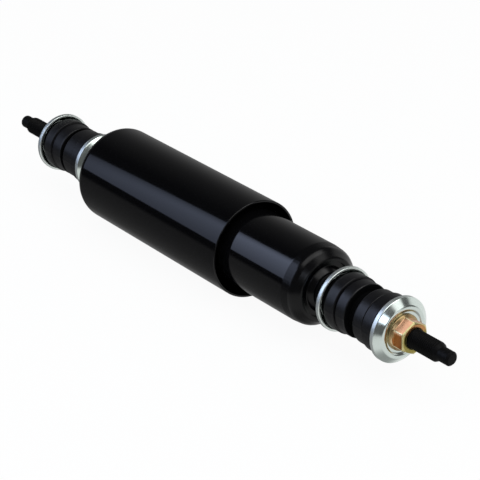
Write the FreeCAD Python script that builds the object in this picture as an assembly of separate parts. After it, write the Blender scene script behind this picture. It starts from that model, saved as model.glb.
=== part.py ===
import FreeCAD, Part
import math
import os

# Twin-tube shock absorber with a stud at each end and a dust shield, lying along the X axis.
# Millimetres. The origin is on the axis, midway between the two lower rubber bushings, where
# the lower bracket's plate goes. +X runs towards the rod end and +Z is up.

# Layout along the axis, in the pose of the photograph
BRACKET_SPAN = 242.0      # lower bracket plane to upper bracket plane
BUMP_TRAVEL = 7.0         # how far the rod can still go in
REBOUND_TRAVEL = 78.0     # how far it can come out
STOP_GAP = 0.4            # left between pieces that meet at the end of the travel
FIT = 0.05                # radial play of running fits and assembled joints
LIFT_PLAY = 0.05          # left under a check plate that rests on its seat
LEAST_ROUNDING = 0.2      # of the inner corners of pressed sheet

# Studs, 3/8 inch thread
STUD_R = 9.525 / 2
STUD_SHANK_R = 4.42       # rolled blank under the thread, and the pitch line inside the nut
STUD_DOG_R = 3.5
STUD_DOG_LENGTH = 6.7
STUD_TAPER = 2.2          # cone between the thread and the dog point
STUD_CHAMFER = 0.9
LOWER_STUD_REACH = 54.5   # bracket plane to the tip
UPPER_STUD_REACH = 59.0
SEAT_COLLAR_R = 8.6
COLLAR_FLARE = 0.4        # at the foot of a seat collar

# Mount hardware, the same set at both ends
RETAINER_RIM = 17.7       # bracket plane to the rim
RETAINER_R = 16.1
RETAINER_SHEET = 1.3
RETAINER_LIP = 2.4        # rim to the foot of the sloping wall
RETAINER_CREST = 5.4      # rim to the crest
RETAINER_SHOULDER_R = 12.7  # where the sloping wall meets the crest
RETAINER_CREST_R = 11.2   # where the crest falls off to the dished centre
RETAINER_FLOOR_R = 10.1
RETAINER_RECESS = 1.0     # how far the dished centre lies below the crest
BUSHING_NECK_R = 10.0
LOWER_NECK = 2.7          # length of a bushing's neck, half the gap for the bracket's plate
UPPER_NECK = 1.1          # the upper pair is pressed closer together
BUSHING_SMALL_R = 13.6
BUSHING_LARGE_R = 14.4
BUSHING_STEP = 9.6        # bracket plane to the groove between the two tiers
BUSHING_GROOVE_R = 12.6
BUSHING_GROOVE_HALF = 0.8
BUSHING_SHOULDER = 16.4   # bracket plane to the end of the large tier
BUSHING_ROOT_R = 12.3     # inside the retainer
NUT_FLATS = 14.29
NUT_HEIGHT = 8.3
NUT_FACE_R = 6.8          # flat part of the nut's outer face
NUT_CHAMFER = 30.0        # of its outer corners, in degrees
NUT_FLANGE_R = 8.9
NUT_FLANGE = 1.1          # thickness of the flange's rim
NUT_CONE = 2.1            # height at which the flange's cone runs into the flats
LOWER_NUT_TURN = 28.0     # of one corner, from +Y towards +Z
UPPER_NUT_TURN = 11.0

# Dust shield
SHIELD_R = 25.4
SHIELD_SHEET = 1.2
SHIELD_MOUTH_X = 86.2
SHIELD_SHOULDER_X = 208.0
SHIELD_TOP_X = 213.0
SHIELD_CORNER = 6.0
SHIELD_CROWN_R = 10.5

# Reservoir tube and base cap
RESERVOIR_R = 20.35
RESERVOIR_WALL = 1.5
RESERVOIR_END_X = 30.6
RESERVOIR_MOUTH_R = 14.0  # opening of the end swaged over the base cap
SWAGE_X = 40.5            # where the tube begins to narrow
SWAGE_FOOT_X = 34.3       # where its slight taper meets the cone at its end
SWAGE_FOOT_R = 19.8
SWAGE_FACE_R = 15.9       # where the cone meets the end face
SWAGE_BEND = 8.0          # roundings of those three corners
SWAGE_SHOULDER = 5.0
SWAGE_EDGE = 2.5
RESERVOIR_TOP_X = 199.0
RESERVOIR_LIP_R = 16.2    # opening of the lip rolled over the seal washer
CAP_SHEET = 2.2
CAP_SKIRT_TOP_X = 44.0
CAP_CORNER = 1.6          # at the edge of the face that bears on the swaged end
CAP_STEP_R = 11.6
CAP_DISH_R = 9.6
CAP_DISH_X = 29.2
STUD_PILOT_R = 6.0

# Pressure tube, rod and rod guide
BORE_R = 12.5
PRESSURE_WALL = 1.4
PRESSURE_TOP_X = 182.0
ROD_R = 6.25
GUIDE_BOTTOM_X = 174.0
GUIDE_FLOOR_X = 188.0     # floor of the pocket that holds the seal
BUSH_WALL = 0.9
SEAL_WASHER = 1.6
SEAL_R = 14.8
O_RING_WIRE = 1.1
O_RING_X = 185.4

# Base valve
BASE_FOOT = 4.9
FOOT_INNER_R = 12.2
BASE_FLANGE = 2.4
BASE_SPIGOT = 4.6
BASE_FEET = 6
FOOT_GAP_WIDTH = 6.0
BASE_PIN_R = 2.5
BASE_PIN_HEAD_R = 4.5
BASE_PIN_HEAD = 1.5
BASE_SPRING_RISE = 2.4    # base plate to the hub of its check spring
BASE_INNER_PORTS = 6
BASE_INNER_PORT_R = 0.9
BASE_INNER_CIRCLE_R = 5.3
BASE_OUTER_PORTS = 8
BASE_OUTER_PORT_R = 1.1
BASE_OUTER_CIRCLE_R = 9.4
BASE_SPRING_R = 9.6
BASE_LIP_R = 7.1
BASE_LIP_HEIGHT = 1.2
DISC = 0.3
DISC_COUNT = 3

# Piston and its valves
PISTON_LENGTH = 12.0
PISTON_R = 12.3
JOURNAL_R = 5.0
JOURNAL_SHOWS = 1.1       # thread that stands out of the piston nut
ROD_END_ROOM = 2.2        # left above the base valve when the rod is right in
BAND_GROOVE_R = 11.2
BAND_LENGTH = 8.0
BAND_END_PLAY = 0.3
PISTON_INNER_PORTS = 6
PISTON_INNER_PORT_R = 0.9
PISTON_INNER_CIRCLE_R = 7.4
PISTON_OUTER_PORTS = 10
PISTON_OUTER_PORT_R = 0.8
PISTON_OUTER_CIRCLE_R = 9.9
PORT_GROOVE = 0.5
CHECK_PLATE = 0.6
CHECK_OUTER_R = 11.3
STOP_HUB_R = 5.9
STOP_HUB_LENGTH = 5.0
STOP_FLANGE = 1.6
STOP_FLANGE_R = 9.5
SPRING_SHEET = 0.3
SPRING_FINGERS = 6
FINGER_WIDTH = 2.2
PISTON_SPRING_R = 10.6
REBOUND_DISC_R = 8.9
BACKING_WASHER = 1.5
BACKING_R = 6.6
PISTON_NUT_FLATS = 14.0
PISTON_NUT_HEIGHT = 7.0
REBOUND_STOP_R = 9.2
REBOUND_STOP = 3.0
BUMPER_R = 10.4
BUMPER = 4.6

# Places worked out from the sizes above
SEAT = RETAINER_RIM + RETAINER_CREST - RETAINER_RECESS
LOWER_SEAT_X = SEAT
UPPER_SEAT_X = BRACKET_SPAN - SEAT
RESERVOIR_BORE_R = RESERVOIR_R - RESERVOIR_WALL
PRESSURE_R = BORE_R + PRESSURE_WALL
CAP_FACE_X = RESERVOIR_END_X + RESERVOIR_WALL
BASE_X = CAP_FACE_X + CAP_SHEET
BASE_PLATE_X = BASE_X + BASE_FOOT
BASE_FLANGE_TOP_X = BASE_PLATE_X + BASE_FLANGE
BASE_TOP_X = BASE_FLANGE_TOP_X + BASE_SPIGOT
BASE_PIN_TOP_X = BASE_TOP_X + BASE_SPRING_RISE + SPRING_SHEET + BASE_PIN_HEAD
JOURNAL_END_X = BASE_PIN_TOP_X + BUMP_TRAVEL + ROD_END_ROOM
PISTON_NUT_X = JOURNAL_END_X + JOURNAL_SHOWS
BACKING_X = PISTON_NUT_X + PISTON_NUT_HEIGHT
PISTON_X = BACKING_X + BACKING_WASHER + DISC_COUNT * DISC
PISTON_TOP_X = PISTON_X + PISTON_LENGTH
ROD_SHOULDER_X = PISTON_TOP_X + STOP_HUB_LENGTH
BUMPER_TOP_X = GUIDE_BOTTOM_X - REBOUND_TRAVEL - STOP_GAP
SEAL_WASHER_TOP_X = RESERVOIR_TOP_X - RESERVOIR_WALL
SEAL_TOP_X = SEAL_WASHER_TOP_X - SEAL_WASHER

ORIGIN = FreeCAD.Vector(0, 0, 0)
AXIS = FreeCAD.Vector(1, 0, 0)
LOWER = (0.0, -1, LOWER_NECK)    # bracket plane, outward direction and neck length of each end
UPPER = (BRACKET_SPAN, 1, UPPER_NECK)


def outline(points):
    """Closed wire through (x, r) points; a third number rounds that corner with an arc."""
    count = len(points)
    corners = []
    for i in range(count):
        here = FreeCAD.Vector(points[i][0], points[i][1], 0)
        if len(points[i]) < 3:
            corners.append((here, None, here))
            continue
        radius = points[i][2]
        following = points[(i + 1) % count]
        back = (FreeCAD.Vector(points[i - 1][0], points[i - 1][1], 0) - here).normalize()
        ahead = (FreeCAD.Vector(following[0], following[1], 0) - here).normalize()
        half = back.getAngle(ahead) / 2
        reach = radius / math.tan(half)
        inward = (back + ahead).normalize()
        via = here + inward * (radius / math.sin(half) - radius)
        corners.append((here + back * reach, via, here + ahead * reach))
    edges = []
    for i in range(count):
        start, via, end = corners[i]
        if via is not None:
            edges.append(Part.Arc(start, via, end).toShape())
        following = corners[(i + 1) % count][0]
        if end.distanceToPoint(following) > 1e-6:
            edges.append(Part.LineSegment(end, following).toShape())
    return Part.Wire(edges)


def turned(points):
    """Solid of revolution about the X axis from an outline of (x, r) points."""
    return Part.Face(outline(points)).revolve(ORIGIN, AXIS, 360)


def parallel(points, sheet):
    """Corners of a line that runs at the given distance on the right of (x, r, rounding) points."""
    ends = (0, len(points) - 1)
    normals = []
    for start, end in zip(points, points[1:]):
        normals.append(FreeCAD.Vector(end[1] - start[1], start[0] - end[0], 0).normalize())
    beside = []
    for i, point in enumerate(points):
        before = normals[max(i - 1, 0)]
        after = normals[min(i, len(normals) - 1)]
        place = FreeCAD.Vector(point[0], point[1], 0) + (before + after) * (sheet / (1 + before.dot(after)))
        corner = [place.x, place.y]
        if len(point) > 2:
            change = 0 if i in ends else math.copysign(sheet, before.cross(after).z)
            corner.append(max(point[2] + change, LEAST_ROUNDING))
        beside.append(corner)
    return beside


def pressed(points, sheet):
    """Even sheet turned about the X axis: a run of (x, r, rounding) points and its parallel."""
    return turned(points + parallel(points, sheet)[::-1])


def ring(x0, x1, inner_r, outer_r):
    """Plain ring or tube between two planes."""
    return turned([(x0, inner_r), (x1, inner_r), (x1, outer_r), (x0, outer_r)])


def drilled(shape, count, hole_r, circle_r, x0, x1):
    """Cut a circle of holes that run along the axis."""
    for i in range(count):
        angle = 2 * math.pi * i / count
        start = FreeCAD.Vector(x0, circle_r * math.cos(angle), circle_r * math.sin(angle))
        shape = shape.cut(Part.makeCylinder(hole_r, x1 - x0, start, AXIS))
    return shape


def hexagon(flats, x0, x1):
    """Hexagonal prism along X, with one corner on +Y."""
    corner_r = flats / math.sqrt(3)
    corners = []
    for i in range(7):
        angle = math.radians(60 * i)
        corners.append(FreeCAD.Vector(x0, corner_r * math.cos(angle), corner_r * math.sin(angle)))
    return Part.Face(Part.makePolygon(corners)).extrude(AXIS * (x1 - x0))


def placed(shape, x, direction):
    """Move a piece made from x = 0 along +X to its plane, pointing along direction."""
    if direction < 0:
        shape.rotate(ORIGIN, FreeCAD.Vector(0, 0, 1), 180)
    shape.translate(AXIS * x)
    return shape


def retainer(end, side):
    """Pressed cup washer with its rim towards the bracket: side +1 is the outer one, -1 the inner one."""
    bracket_x, outward = end[:2]
    floor_x = RETAINER_CREST - RETAINER_RECESS
    cup = pressed([
        (0, RETAINER_R, 0.4),
        (RETAINER_LIP, RETAINER_R, 1.9),
        (RETAINER_CREST, RETAINER_SHOULDER_R, 1.6),
        (RETAINER_CREST, RETAINER_CREST_R, 0.9),
        (floor_x, RETAINER_FLOOR_R, 0.8),
        (floor_x, STUD_R + 4 * FIT),
    ], RETAINER_SHEET)
    return placed(cup, bracket_x + outward * side * RETAINER_RIM, outward * side)


def bushing(end, side):
    """Rubber bushing in two tiers, its neck in the bracket's hole and its root in the retainer."""
    bracket_x, outward, neck = end
    bore_r = STUD_R + 3 * FIT
    root_x = SEAT - RETAINER_SHEET
    rubber = turned([
        (0, bore_r),
        (0, BUSHING_NECK_R),
        (neck, BUSHING_NECK_R, 0.4),
        (neck, BUSHING_SMALL_R, 1.0),
        (BUSHING_STEP - BUSHING_GROOVE_HALF, BUSHING_SMALL_R, 0.5),
        (BUSHING_STEP, BUSHING_GROOVE_R, 0.3),
        (BUSHING_STEP + BUSHING_GROOVE_HALF, BUSHING_LARGE_R, 0.5),
        (BUSHING_SHOULDER, BUSHING_LARGE_R, 1.2),
        (BUSHING_SHOULDER + 1.2, BUSHING_ROOT_R, 0.6),
        (root_x, BUSHING_ROOT_R, 0.8),
        (root_x, bore_r),
    ])
    return placed(rubber, bracket_x, outward * side)


def flange_nut(end, turn):
    """Hexagon nut on a small flange, which sits in the dished centre of the outer retainer."""
    bracket_x, outward = end[:2]
    blank = turned([
        (0, 0),
        (0, NUT_FACE_R + NUT_HEIGHT / math.tan(math.radians(NUT_CHAMFER))),
        (NUT_HEIGHT, NUT_FACE_R),
        (NUT_HEIGHT, 0),
    ])
    flange = turned([
        (0, 0),
        (0, NUT_FLANGE_R),
        (NUT_FLANGE, NUT_FLANGE_R),
        (NUT_CONE, NUT_FLATS / 2),
        (NUT_CONE, 0),
    ])
    nut = hexagon(NUT_FLATS, 0, NUT_HEIGHT).common(blank).fuse(flange)
    nut = nut.cut(Part.makeCylinder(STUD_SHANK_R + FIT, NUT_HEIGHT, ORIGIN, AXIS))
    nut.rotate(ORIGIN, AXIS, turn if outward > 0 else 180 - turn)
    return placed(nut, bracket_x + outward * SEAT, outward)


def stud_points(shoulder, reach):
    """Outline of a stud from its seat: shank up to the nut's face, free thread and dog point."""
    nut_face = shoulder + 2 * SEAT + NUT_HEIGHT
    tip = shoulder + SEAT + reach
    full = tip - STUD_DOG_LENGTH
    return [
        (shoulder, STUD_SHANK_R),
        (nut_face, STUD_SHANK_R),
        (nut_face, STUD_R),
        (full - STUD_TAPER, STUD_R),
        (full, STUD_DOG_R),
        (tip - STUD_CHAMFER, STUD_DOG_R),
        (tip, STUD_DOG_R - STUD_CHAMFER),
        (tip, 0),
    ]


def lower_stud():
    """Threaded stud with a forged collar, and a pilot through the base cap."""
    collar_end = CAP_DISH_X - LOWER_SEAT_X
    pilot_end = collar_end + CAP_SHEET
    body = [
        (-pilot_end, 0),
        (-pilot_end, STUD_PILOT_R),
        (-collar_end, STUD_PILOT_R),
        (-collar_end, SEAT_COLLAR_R + COLLAR_FLARE),
        (-collar_end + 1.2, SEAT_COLLAR_R, 0.6),
        (0, SEAT_COLLAR_R, 0.5),
    ]
    return placed(turned(body + stud_points(0, LOWER_STUD_REACH)), LOWER_SEAT_X, -1)


def reservoir_outside():
    """Outer corners of the reservoir tube, from the mouth of its swaged end up to the seal washer."""
    return [
        (RESERVOIR_END_X, RESERVOIR_MOUTH_R, 0.5),
        (RESERVOIR_END_X, SWAGE_FACE_R, SWAGE_EDGE),
        (SWAGE_FOOT_X, SWAGE_FOOT_R, SWAGE_SHOULDER),
        (SWAGE_X, RESERVOIR_R, SWAGE_BEND),
        (SEAL_WASHER_TOP_X, RESERVOIR_R),
    ]


def base_cap():
    """Pressed cap: a skirt in the tube, a shoulder against its swaged end and a centre that stands out."""
    face, foot, bend, top = parallel(reservoir_outside(), RESERVOIR_WALL + FIT / 2)[1:]
    return pressed([
        (CAP_DISH_X, STUD_PILOT_R + FIT),
        (CAP_DISH_X, CAP_DISH_R, 0.8),
        (CAP_FACE_X, CAP_STEP_R, 0.8),
        (CAP_FACE_X, face[1] - FIT, CAP_CORNER),
        foot,
        bend,
        (CAP_SKIRT_TOP_X, top[1]),
    ], CAP_SHEET)


def reservoir_tube():
    """Outer tube, swaged over the base cap and rolled over the seal washer."""
    outside = reservoir_outside()
    lip = [
        (RESERVOIR_TOP_X, RESERVOIR_R, 1.8),
        (RESERVOIR_TOP_X, RESERVOIR_LIP_R, 0.3),
        (SEAL_WASHER_TOP_X, RESERVOIR_LIP_R, 0.3),
    ]
    return turned(outside[:-1] + lip + parallel(outside, RESERVOIR_WALL)[::-1])


def pressure_tube():
    """Inner tube in which the piston runs, from the base valve to the rod guide."""
    return ring(BASE_FLANGE_TOP_X, PRESSURE_TOP_X, BORE_R, PRESSURE_R)


def dust_shield():
    """Drawn tube with a domed end, welded to the rod, and an open mouth."""
    return pressed([
        (SHIELD_MOUTH_X, SHIELD_R, 0.4),
        (SHIELD_SHOULDER_X, SHIELD_R, SHIELD_CORNER),
        (SHIELD_TOP_X, SHIELD_CROWN_R, 3.0),
        (SHIELD_TOP_X, ROD_R + FIT),
    ], SHIELD_SHEET)


def shield_collar():
    """Turned collar welded between the shield's dome and the upper inner retainer."""
    return turned([
        (SHIELD_TOP_X, ROD_R + FIT),
        (UPPER_SEAT_X, ROD_R + FIT),
        (UPPER_SEAT_X, SEAT_COLLAR_R, 0.5),
        (SHIELD_TOP_X + 1.2, SEAT_COLLAR_R, 0.6),
        (SHIELD_TOP_X, SEAT_COLLAR_R + COLLAR_FLARE),
    ])


def piston_rod():
    """Rod with a journal for the piston at one end and the upper stud at the other."""
    body = [
        (JOURNAL_END_X, 0),
        (JOURNAL_END_X, JOURNAL_R - STUD_CHAMFER),
        (JOURNAL_END_X + STUD_CHAMFER, JOURNAL_R),
        (ROD_SHOULDER_X, JOURNAL_R),
        (ROD_SHOULDER_X, ROD_R),
        (UPPER_SEAT_X, ROD_R),
    ]
    return turned(body + stud_points(UPPER_SEAT_X, UPPER_STUD_REACH))


def base_valve_body():
    """Foot valve: feet on the cap's floor, a flange under the pressure tube and a ported plate."""
    spigot_r = BORE_R - FIT
    lip_top_x = BASE_TOP_X + BASE_LIP_HEIGHT
    body = turned([
        (BASE_X, FOOT_INNER_R),
        (BASE_PLATE_X, FOOT_INNER_R),
        (BASE_PLATE_X, BASE_PIN_R + FIT),
        (BASE_TOP_X, BASE_PIN_R + FIT),
        (BASE_TOP_X, BASE_LIP_R - 0.7),
        (lip_top_x, BASE_LIP_R - 0.7),
        (lip_top_x, BASE_LIP_R),
        (BASE_TOP_X, BASE_LIP_R),
        (BASE_TOP_X, spigot_r, 0.5),
        (BASE_FLANGE_TOP_X, spigot_r),
        (BASE_FLANGE_TOP_X, PRESSURE_R),
        (BASE_X, PRESSURE_R),
    ])
    slot_start = FreeCAD.Vector(BASE_X, 0, -FOOT_GAP_WIDTH / 2)
    for i in range(BASE_FEET):
        slot = Part.makeBox(BASE_FOOT, PRESSURE_R + 1, FOOT_GAP_WIDTH, slot_start)
        slot.rotate(ORIGIN, AXIS, 360 * i / BASE_FEET)
        body = body.cut(slot)
    body = drilled(body, BASE_INNER_PORTS, BASE_INNER_PORT_R, BASE_INNER_CIRCLE_R, BASE_PLATE_X, BASE_TOP_X)
    return drilled(body, BASE_OUTER_PORTS, BASE_OUTER_PORT_R, BASE_OUTER_CIRCLE_R, BASE_PLATE_X, BASE_TOP_X)


def disc_stack(x, direction, radii, bore_r):
    """Thin valve discs lying on each other, one solid each, starting from the seat."""
    discs = []
    for i, disc_r in enumerate(radii):
        near = x + direction * i * DISC
        far = x + direction * (i + 1) * DISC
        discs.append(ring(min(near, far), max(near, far), bore_r, disc_r))
    return Part.makeCompound(discs)


def base_compression_discs():
    """Discs under the base plate that meter the oil on the way in."""
    radii = [BASE_INNER_CIRCLE_R + 1.7 - 0.7 * i for i in range(DISC_COUNT)]
    return disc_stack(BASE_PLATE_X, -1, radii, BASE_PIN_R + FIT)


def base_valve_pin():
    """Rivet that clamps the discs below the plate and carries the check spring above it."""
    lower_x = BASE_PLATE_X - DISC_COUNT * DISC
    spring_x = BASE_TOP_X + BASE_SPRING_RISE
    head_x = spring_x + SPRING_SHEET
    return turned([
        (lower_x - BASE_PIN_HEAD, 0),
        (lower_x - BASE_PIN_HEAD, BASE_PIN_HEAD_R - 0.2, 0.6),
        (lower_x, BASE_PIN_HEAD_R - 0.2),
        (lower_x, BASE_PIN_R),
        (BASE_TOP_X, BASE_PIN_R),
        (BASE_TOP_X, BASE_PIN_R + 1.1),
        (spring_x, BASE_PIN_R + 1.1),
        (spring_x, BASE_PIN_R),
        (head_x, BASE_PIN_R),
        (head_x, BASE_PIN_HEAD_R),
        (BASE_PIN_TOP_X, BASE_PIN_HEAD_R, 0.6),
        (BASE_PIN_TOP_X, 0),
    ])


def check_plate(x, inner_r):
    """Flat ring that covers the outer ports and lifts to let oil back through them."""
    low = x + LIFT_PLAY
    return ring(low, low + CHECK_PLATE, inner_r, CHECK_OUTER_R)


def star_spring(hub_x, hub_r, bore_r, rim_x, rim_r):
    """Sheet spring: a flat hub ring and sloping fingers that press on the check plate."""
    drop = rim_x - hub_x
    cone = turned([
        (hub_x, hub_r - 0.2),
        (hub_x + SPRING_SHEET, hub_r - 0.2),
        (rim_x + SPRING_SHEET, rim_r),
        (rim_x, rim_r),
    ])
    span = abs(drop) + 2 * SPRING_SHEET
    low = min(hub_x, rim_x) - SPRING_SHEET / 2
    start = FreeCAD.Vector(low, 0, -FINGER_WIDTH / 2)
    spring = ring(hub_x, hub_x + SPRING_SHEET, bore_r, hub_r)
    for i in range(SPRING_FINGERS):
        finger = Part.makeBox(span, rim_r + 1, FINGER_WIDTH, start)
        finger.rotate(ORIGIN, AXIS, 360 * i / SPRING_FINGERS)
        spring = spring.fuse(cone.common(finger))
    return spring.removeSplitter()


def base_check_spring():
    """Star spring held under the pin's upper head."""
    hub_x = BASE_TOP_X + BASE_SPRING_RISE
    plate_top = BASE_TOP_X + LIFT_PLAY + CHECK_PLATE
    return star_spring(hub_x, BASE_PIN_HEAD_R, BASE_PIN_R + FIT, plate_top + FIT, BASE_SPRING_R)


def rod_guide():
    """Sintered guide: a spigot in the pressure tube, a flange in the reservoir and a seal pocket."""
    flange_r = RESERVOIR_BORE_R - FIT
    bush_r = ROD_R + FIT + BUSH_WALL + FIT
    groove_r = flange_r - 2 * O_RING_WIRE
    half = O_RING_WIRE + 0.1
    return turned([
        (GUIDE_BOTTOM_X, bush_r),
        (GUIDE_FLOOR_X, bush_r),
        (GUIDE_FLOOR_X, SEAL_R + FIT),
        (SEAL_TOP_X, SEAL_R + FIT),
        (SEAL_TOP_X, flange_r, 0.6),
        (O_RING_X + half, flange_r),
        (O_RING_X + half, groove_r),
        (O_RING_X - half, groove_r),
        (O_RING_X - half, flange_r),
        (PRESSURE_TOP_X, flange_r, 0.6),
        (PRESSURE_TOP_X, BORE_R - FIT),
        (GUIDE_BOTTOM_X, BORE_R - FIT, 1.0),
    ])


def rod_guide_bushing():
    """Plain bearing bush pressed into the guide."""
    bore_r = ROD_R + FIT
    return ring(GUIDE_BOTTOM_X, GUIDE_FLOOR_X, bore_r, bore_r + BUSH_WALL)


def rod_seal():
    """Rubber seal with a main lip towards the oil and a dust lip outside."""
    lip_r = ROD_R + FIT
    return turned([
        (GUIDE_FLOOR_X, SEAL_R),
        (GUIDE_FLOOR_X, lip_r + 3.2),
        (GUIDE_FLOOR_X + 1.0, lip_r + 1.2),
        (GUIDE_FLOOR_X + 1.4, lip_r),
        (GUIDE_FLOOR_X + 2.4, lip_r),
        (GUIDE_FLOOR_X + 3.4, lip_r + 1.0),
        (SEAL_TOP_X - 2.0, lip_r + 1.0),
        (SEAL_TOP_X - 1.0, lip_r),
        (SEAL_TOP_X, lip_r),
        (SEAL_TOP_X, SEAL_R),
    ])


def seal_washer():
    """Steel washer that holds the seal, under the reservoir's rolled lip."""
    return ring(SEAL_TOP_X, SEAL_WASHER_TOP_X, ROD_R + 0.6, RESERVOIR_BORE_R - FIT)


def guide_o_ring():
    """O-ring between the guide's flange and the reservoir tube."""
    ring_r = RESERVOIR_BORE_R - FIT - O_RING_WIRE
    return Part.makeTorus(ring_r, O_RING_WIRE, FreeCAD.Vector(O_RING_X, 0, 0), AXIS)


def piston():
    """Ported piston with a groove for its band and a seat groove over each circle of ports."""
    groove_low = PISTON_X + (PISTON_LENGTH - BAND_LENGTH) / 2 - BAND_END_PLAY
    groove_high = groove_low + BAND_LENGTH + 2 * BAND_END_PLAY
    body = turned([
        (PISTON_X, JOURNAL_R + FIT),
        (PISTON_TOP_X, JOURNAL_R + FIT),
        (PISTON_TOP_X, PISTON_R, 0.5),
        (groove_high, PISTON_R),
        (groove_high, BAND_GROOVE_R),
        (groove_low, BAND_GROOVE_R),
        (groove_low, PISTON_R),
        (PISTON_X, PISTON_R, 0.5),
    ])
    inner, outer = PISTON_INNER_CIRCLE_R, PISTON_OUTER_CIRCLE_R
    low_groove = ring(PISTON_X, PISTON_X + PORT_GROOVE, inner - 1.0, inner + 1.0)
    top_groove = ring(PISTON_TOP_X - PORT_GROOVE, PISTON_TOP_X, outer - 0.9, outer + 0.9)
    body = body.cut(low_groove).cut(top_groove)
    body = drilled(body, PISTON_INNER_PORTS, PISTON_INNER_PORT_R, inner, PISTON_X, PISTON_TOP_X)
    return drilled(body, PISTON_OUTER_PORTS, PISTON_OUTER_PORT_R, outer, PISTON_X, PISTON_TOP_X)


def piston_band():
    """Low-friction ring round the piston that slides in the pressure tube."""
    low = PISTON_X + (PISTON_LENGTH - BAND_LENGTH) / 2
    return ring(low, low + BAND_LENGTH, BAND_GROOVE_R + FIT, BORE_R - FIT)


def piston_check_plate():
    """Check plate on the piston's top, with windows over the inner ports."""
    plate = check_plate(PISTON_TOP_X, STOP_HUB_R + 0.1)
    low = PISTON_TOP_X + LIFT_PLAY
    window_r = PISTON_INNER_PORT_R + 0.2
    return drilled(plate, PISTON_INNER_PORTS, window_r, PISTON_INNER_CIRCLE_R, low, low + CHECK_PLATE)


def check_stop_washer():
    """Hub that guides the check plate, with a flange that limits its lift."""
    flange_x = ROD_SHOULDER_X - STOP_FLANGE
    return turned([
        (PISTON_TOP_X, JOURNAL_R + FIT),
        (ROD_SHOULDER_X, JOURNAL_R + FIT),
        (ROD_SHOULDER_X, STOP_FLANGE_R, 0.4),
        (flange_x, STOP_FLANGE_R, 0.4),
        (flange_x, STOP_HUB_R),
        (PISTON_TOP_X, STOP_HUB_R),
    ])


def piston_check_spring():
    """Star spring between the stop flange and the piston's check plate."""
    hub_x = ROD_SHOULDER_X - STOP_FLANGE - SPRING_SHEET
    plate_top = PISTON_TOP_X + LIFT_PLAY + CHECK_PLATE
    return star_spring(hub_x, STOP_HUB_R + 1.4, STOP_HUB_R + FIT, plate_top + FIT, PISTON_SPRING_R)


def rebound_discs():
    """Discs under the piston that meter the oil on the way out."""
    radii = [REBOUND_DISC_R - 0.9 * i for i in range(DISC_COUNT)]
    return disc_stack(PISTON_X, -1, radii, JOURNAL_R + FIT)


def rebound_backing_washer():
    """Washer on which the rebound discs bend."""
    return ring(BACKING_X, BACKING_X + BACKING_WASHER, JOURNAL_R + FIT, BACKING_R)


def piston_nut():
    """Hexagon nut that clamps the piston and its valves against the rod's shoulder."""
    low, top = PISTON_NUT_X, BACKING_X
    corner_r = PISTON_NUT_FLATS / math.sqrt(3)
    blank = turned([
        (low, 0),
        (low, 0.475 * PISTON_NUT_FLATS),
        (low + 0.9, corner_r + 0.1),
        (top, corner_r + 0.1),
        (top, 0),
    ])
    nut = hexagon(PISTON_NUT_FLATS, low, top).common(blank)
    hole_start = FreeCAD.Vector(low, 0, 0)
    return nut.cut(Part.makeCylinder(JOURNAL_R + FIT, PISTON_NUT_HEIGHT, hole_start, AXIS))


def rebound_bumper():
    """Rubber ring that meets the rod guide at full extension."""
    return turned([
        (BUMPER_TOP_X - BUMPER, ROD_R + FIT),
        (BUMPER_TOP_X, ROD_R + FIT),
        (BUMPER_TOP_X, BUMPER_R, 1.6),
        (BUMPER_TOP_X - BUMPER, BUMPER_R, 0.6),
    ])


def rebound_stop():
    """Steel ring fixed to the rod that carries the rebound bumper."""
    top = BUMPER_TOP_X - BUMPER
    return ring(top - REBOUND_STOP, top, ROD_R + FIT, REBOUND_STOP_R)


def mount_set(name, end, nut_turn):
    """The retainers, bushings and nut of one end."""
    return {
        name + "_inner_retainer": retainer(end, -1),
        name + "_inner_bushing": bushing(end, -1),
        name + "_outer_bushing": bushing(end, 1),
        name + "_outer_retainer": retainer(end, 1),
        name + "_nut": flange_nut(end, nut_turn),
    }


def nodes():
    """Every piece by its node name."""
    pieces = {
        "reservoir_tube": reservoir_tube(),
        "base_cap": base_cap(),
        "lower_stud": lower_stud(),
        "pressure_tube": pressure_tube(),
        "base_valve_body": base_valve_body(),
        "base_valve_pin": base_valve_pin(),
        "base_compression_discs": base_compression_discs(),
        "base_check_plate": check_plate(BASE_TOP_X, BASE_LIP_R + 0.1),
        "base_check_spring": base_check_spring(),
        "rod_guide": rod_guide(),
        "rod_guide_bushing": rod_guide_bushing(),
        "rod_seal": rod_seal(),
        "seal_washer": seal_washer(),
        "guide_o_ring": guide_o_ring(),
        "piston_rod": piston_rod(),
        "dust_shield": dust_shield(),
        "shield_collar": shield_collar(),
        "piston": piston(),
        "piston_band": piston_band(),
        "piston_check_plate": piston_check_plate(),
        "piston_check_spring": piston_check_spring(),
        "check_stop_washer": check_stop_washer(),
        "rebound_discs": rebound_discs(),
        "rebound_backing_washer": rebound_backing_washer(),
        "piston_nut": piston_nut(),
        "rebound_stop": rebound_stop(),
        "rebound_bumper": rebound_bumper(),
    }
    pieces.update(mount_set("lower", LOWER, LOWER_NUT_TURN))
    pieces.update(mount_set("upper", UPPER, UPPER_NUT_TURN))
    return pieces


os.makedirs("parts", exist_ok=True)
for node, shape in nodes().items():
    print(node, "valid", shape.isValid(), "solids", len(shape.Solids), "mm3", round(shape.Volume, 1))
    shape.exportStep(os.path.join("parts", node + ".step"))
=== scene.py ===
"""Looks of a stud-ended twin-tube shock absorber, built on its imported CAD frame."""
import logging
import math
from dataclasses import dataclass, field, replace
from enum import Enum
from typing import Any, Callable, Iterable, Optional, Sequence, Union

import bmesh
import bpy
from mathutils import Matrix, Vector


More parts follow.
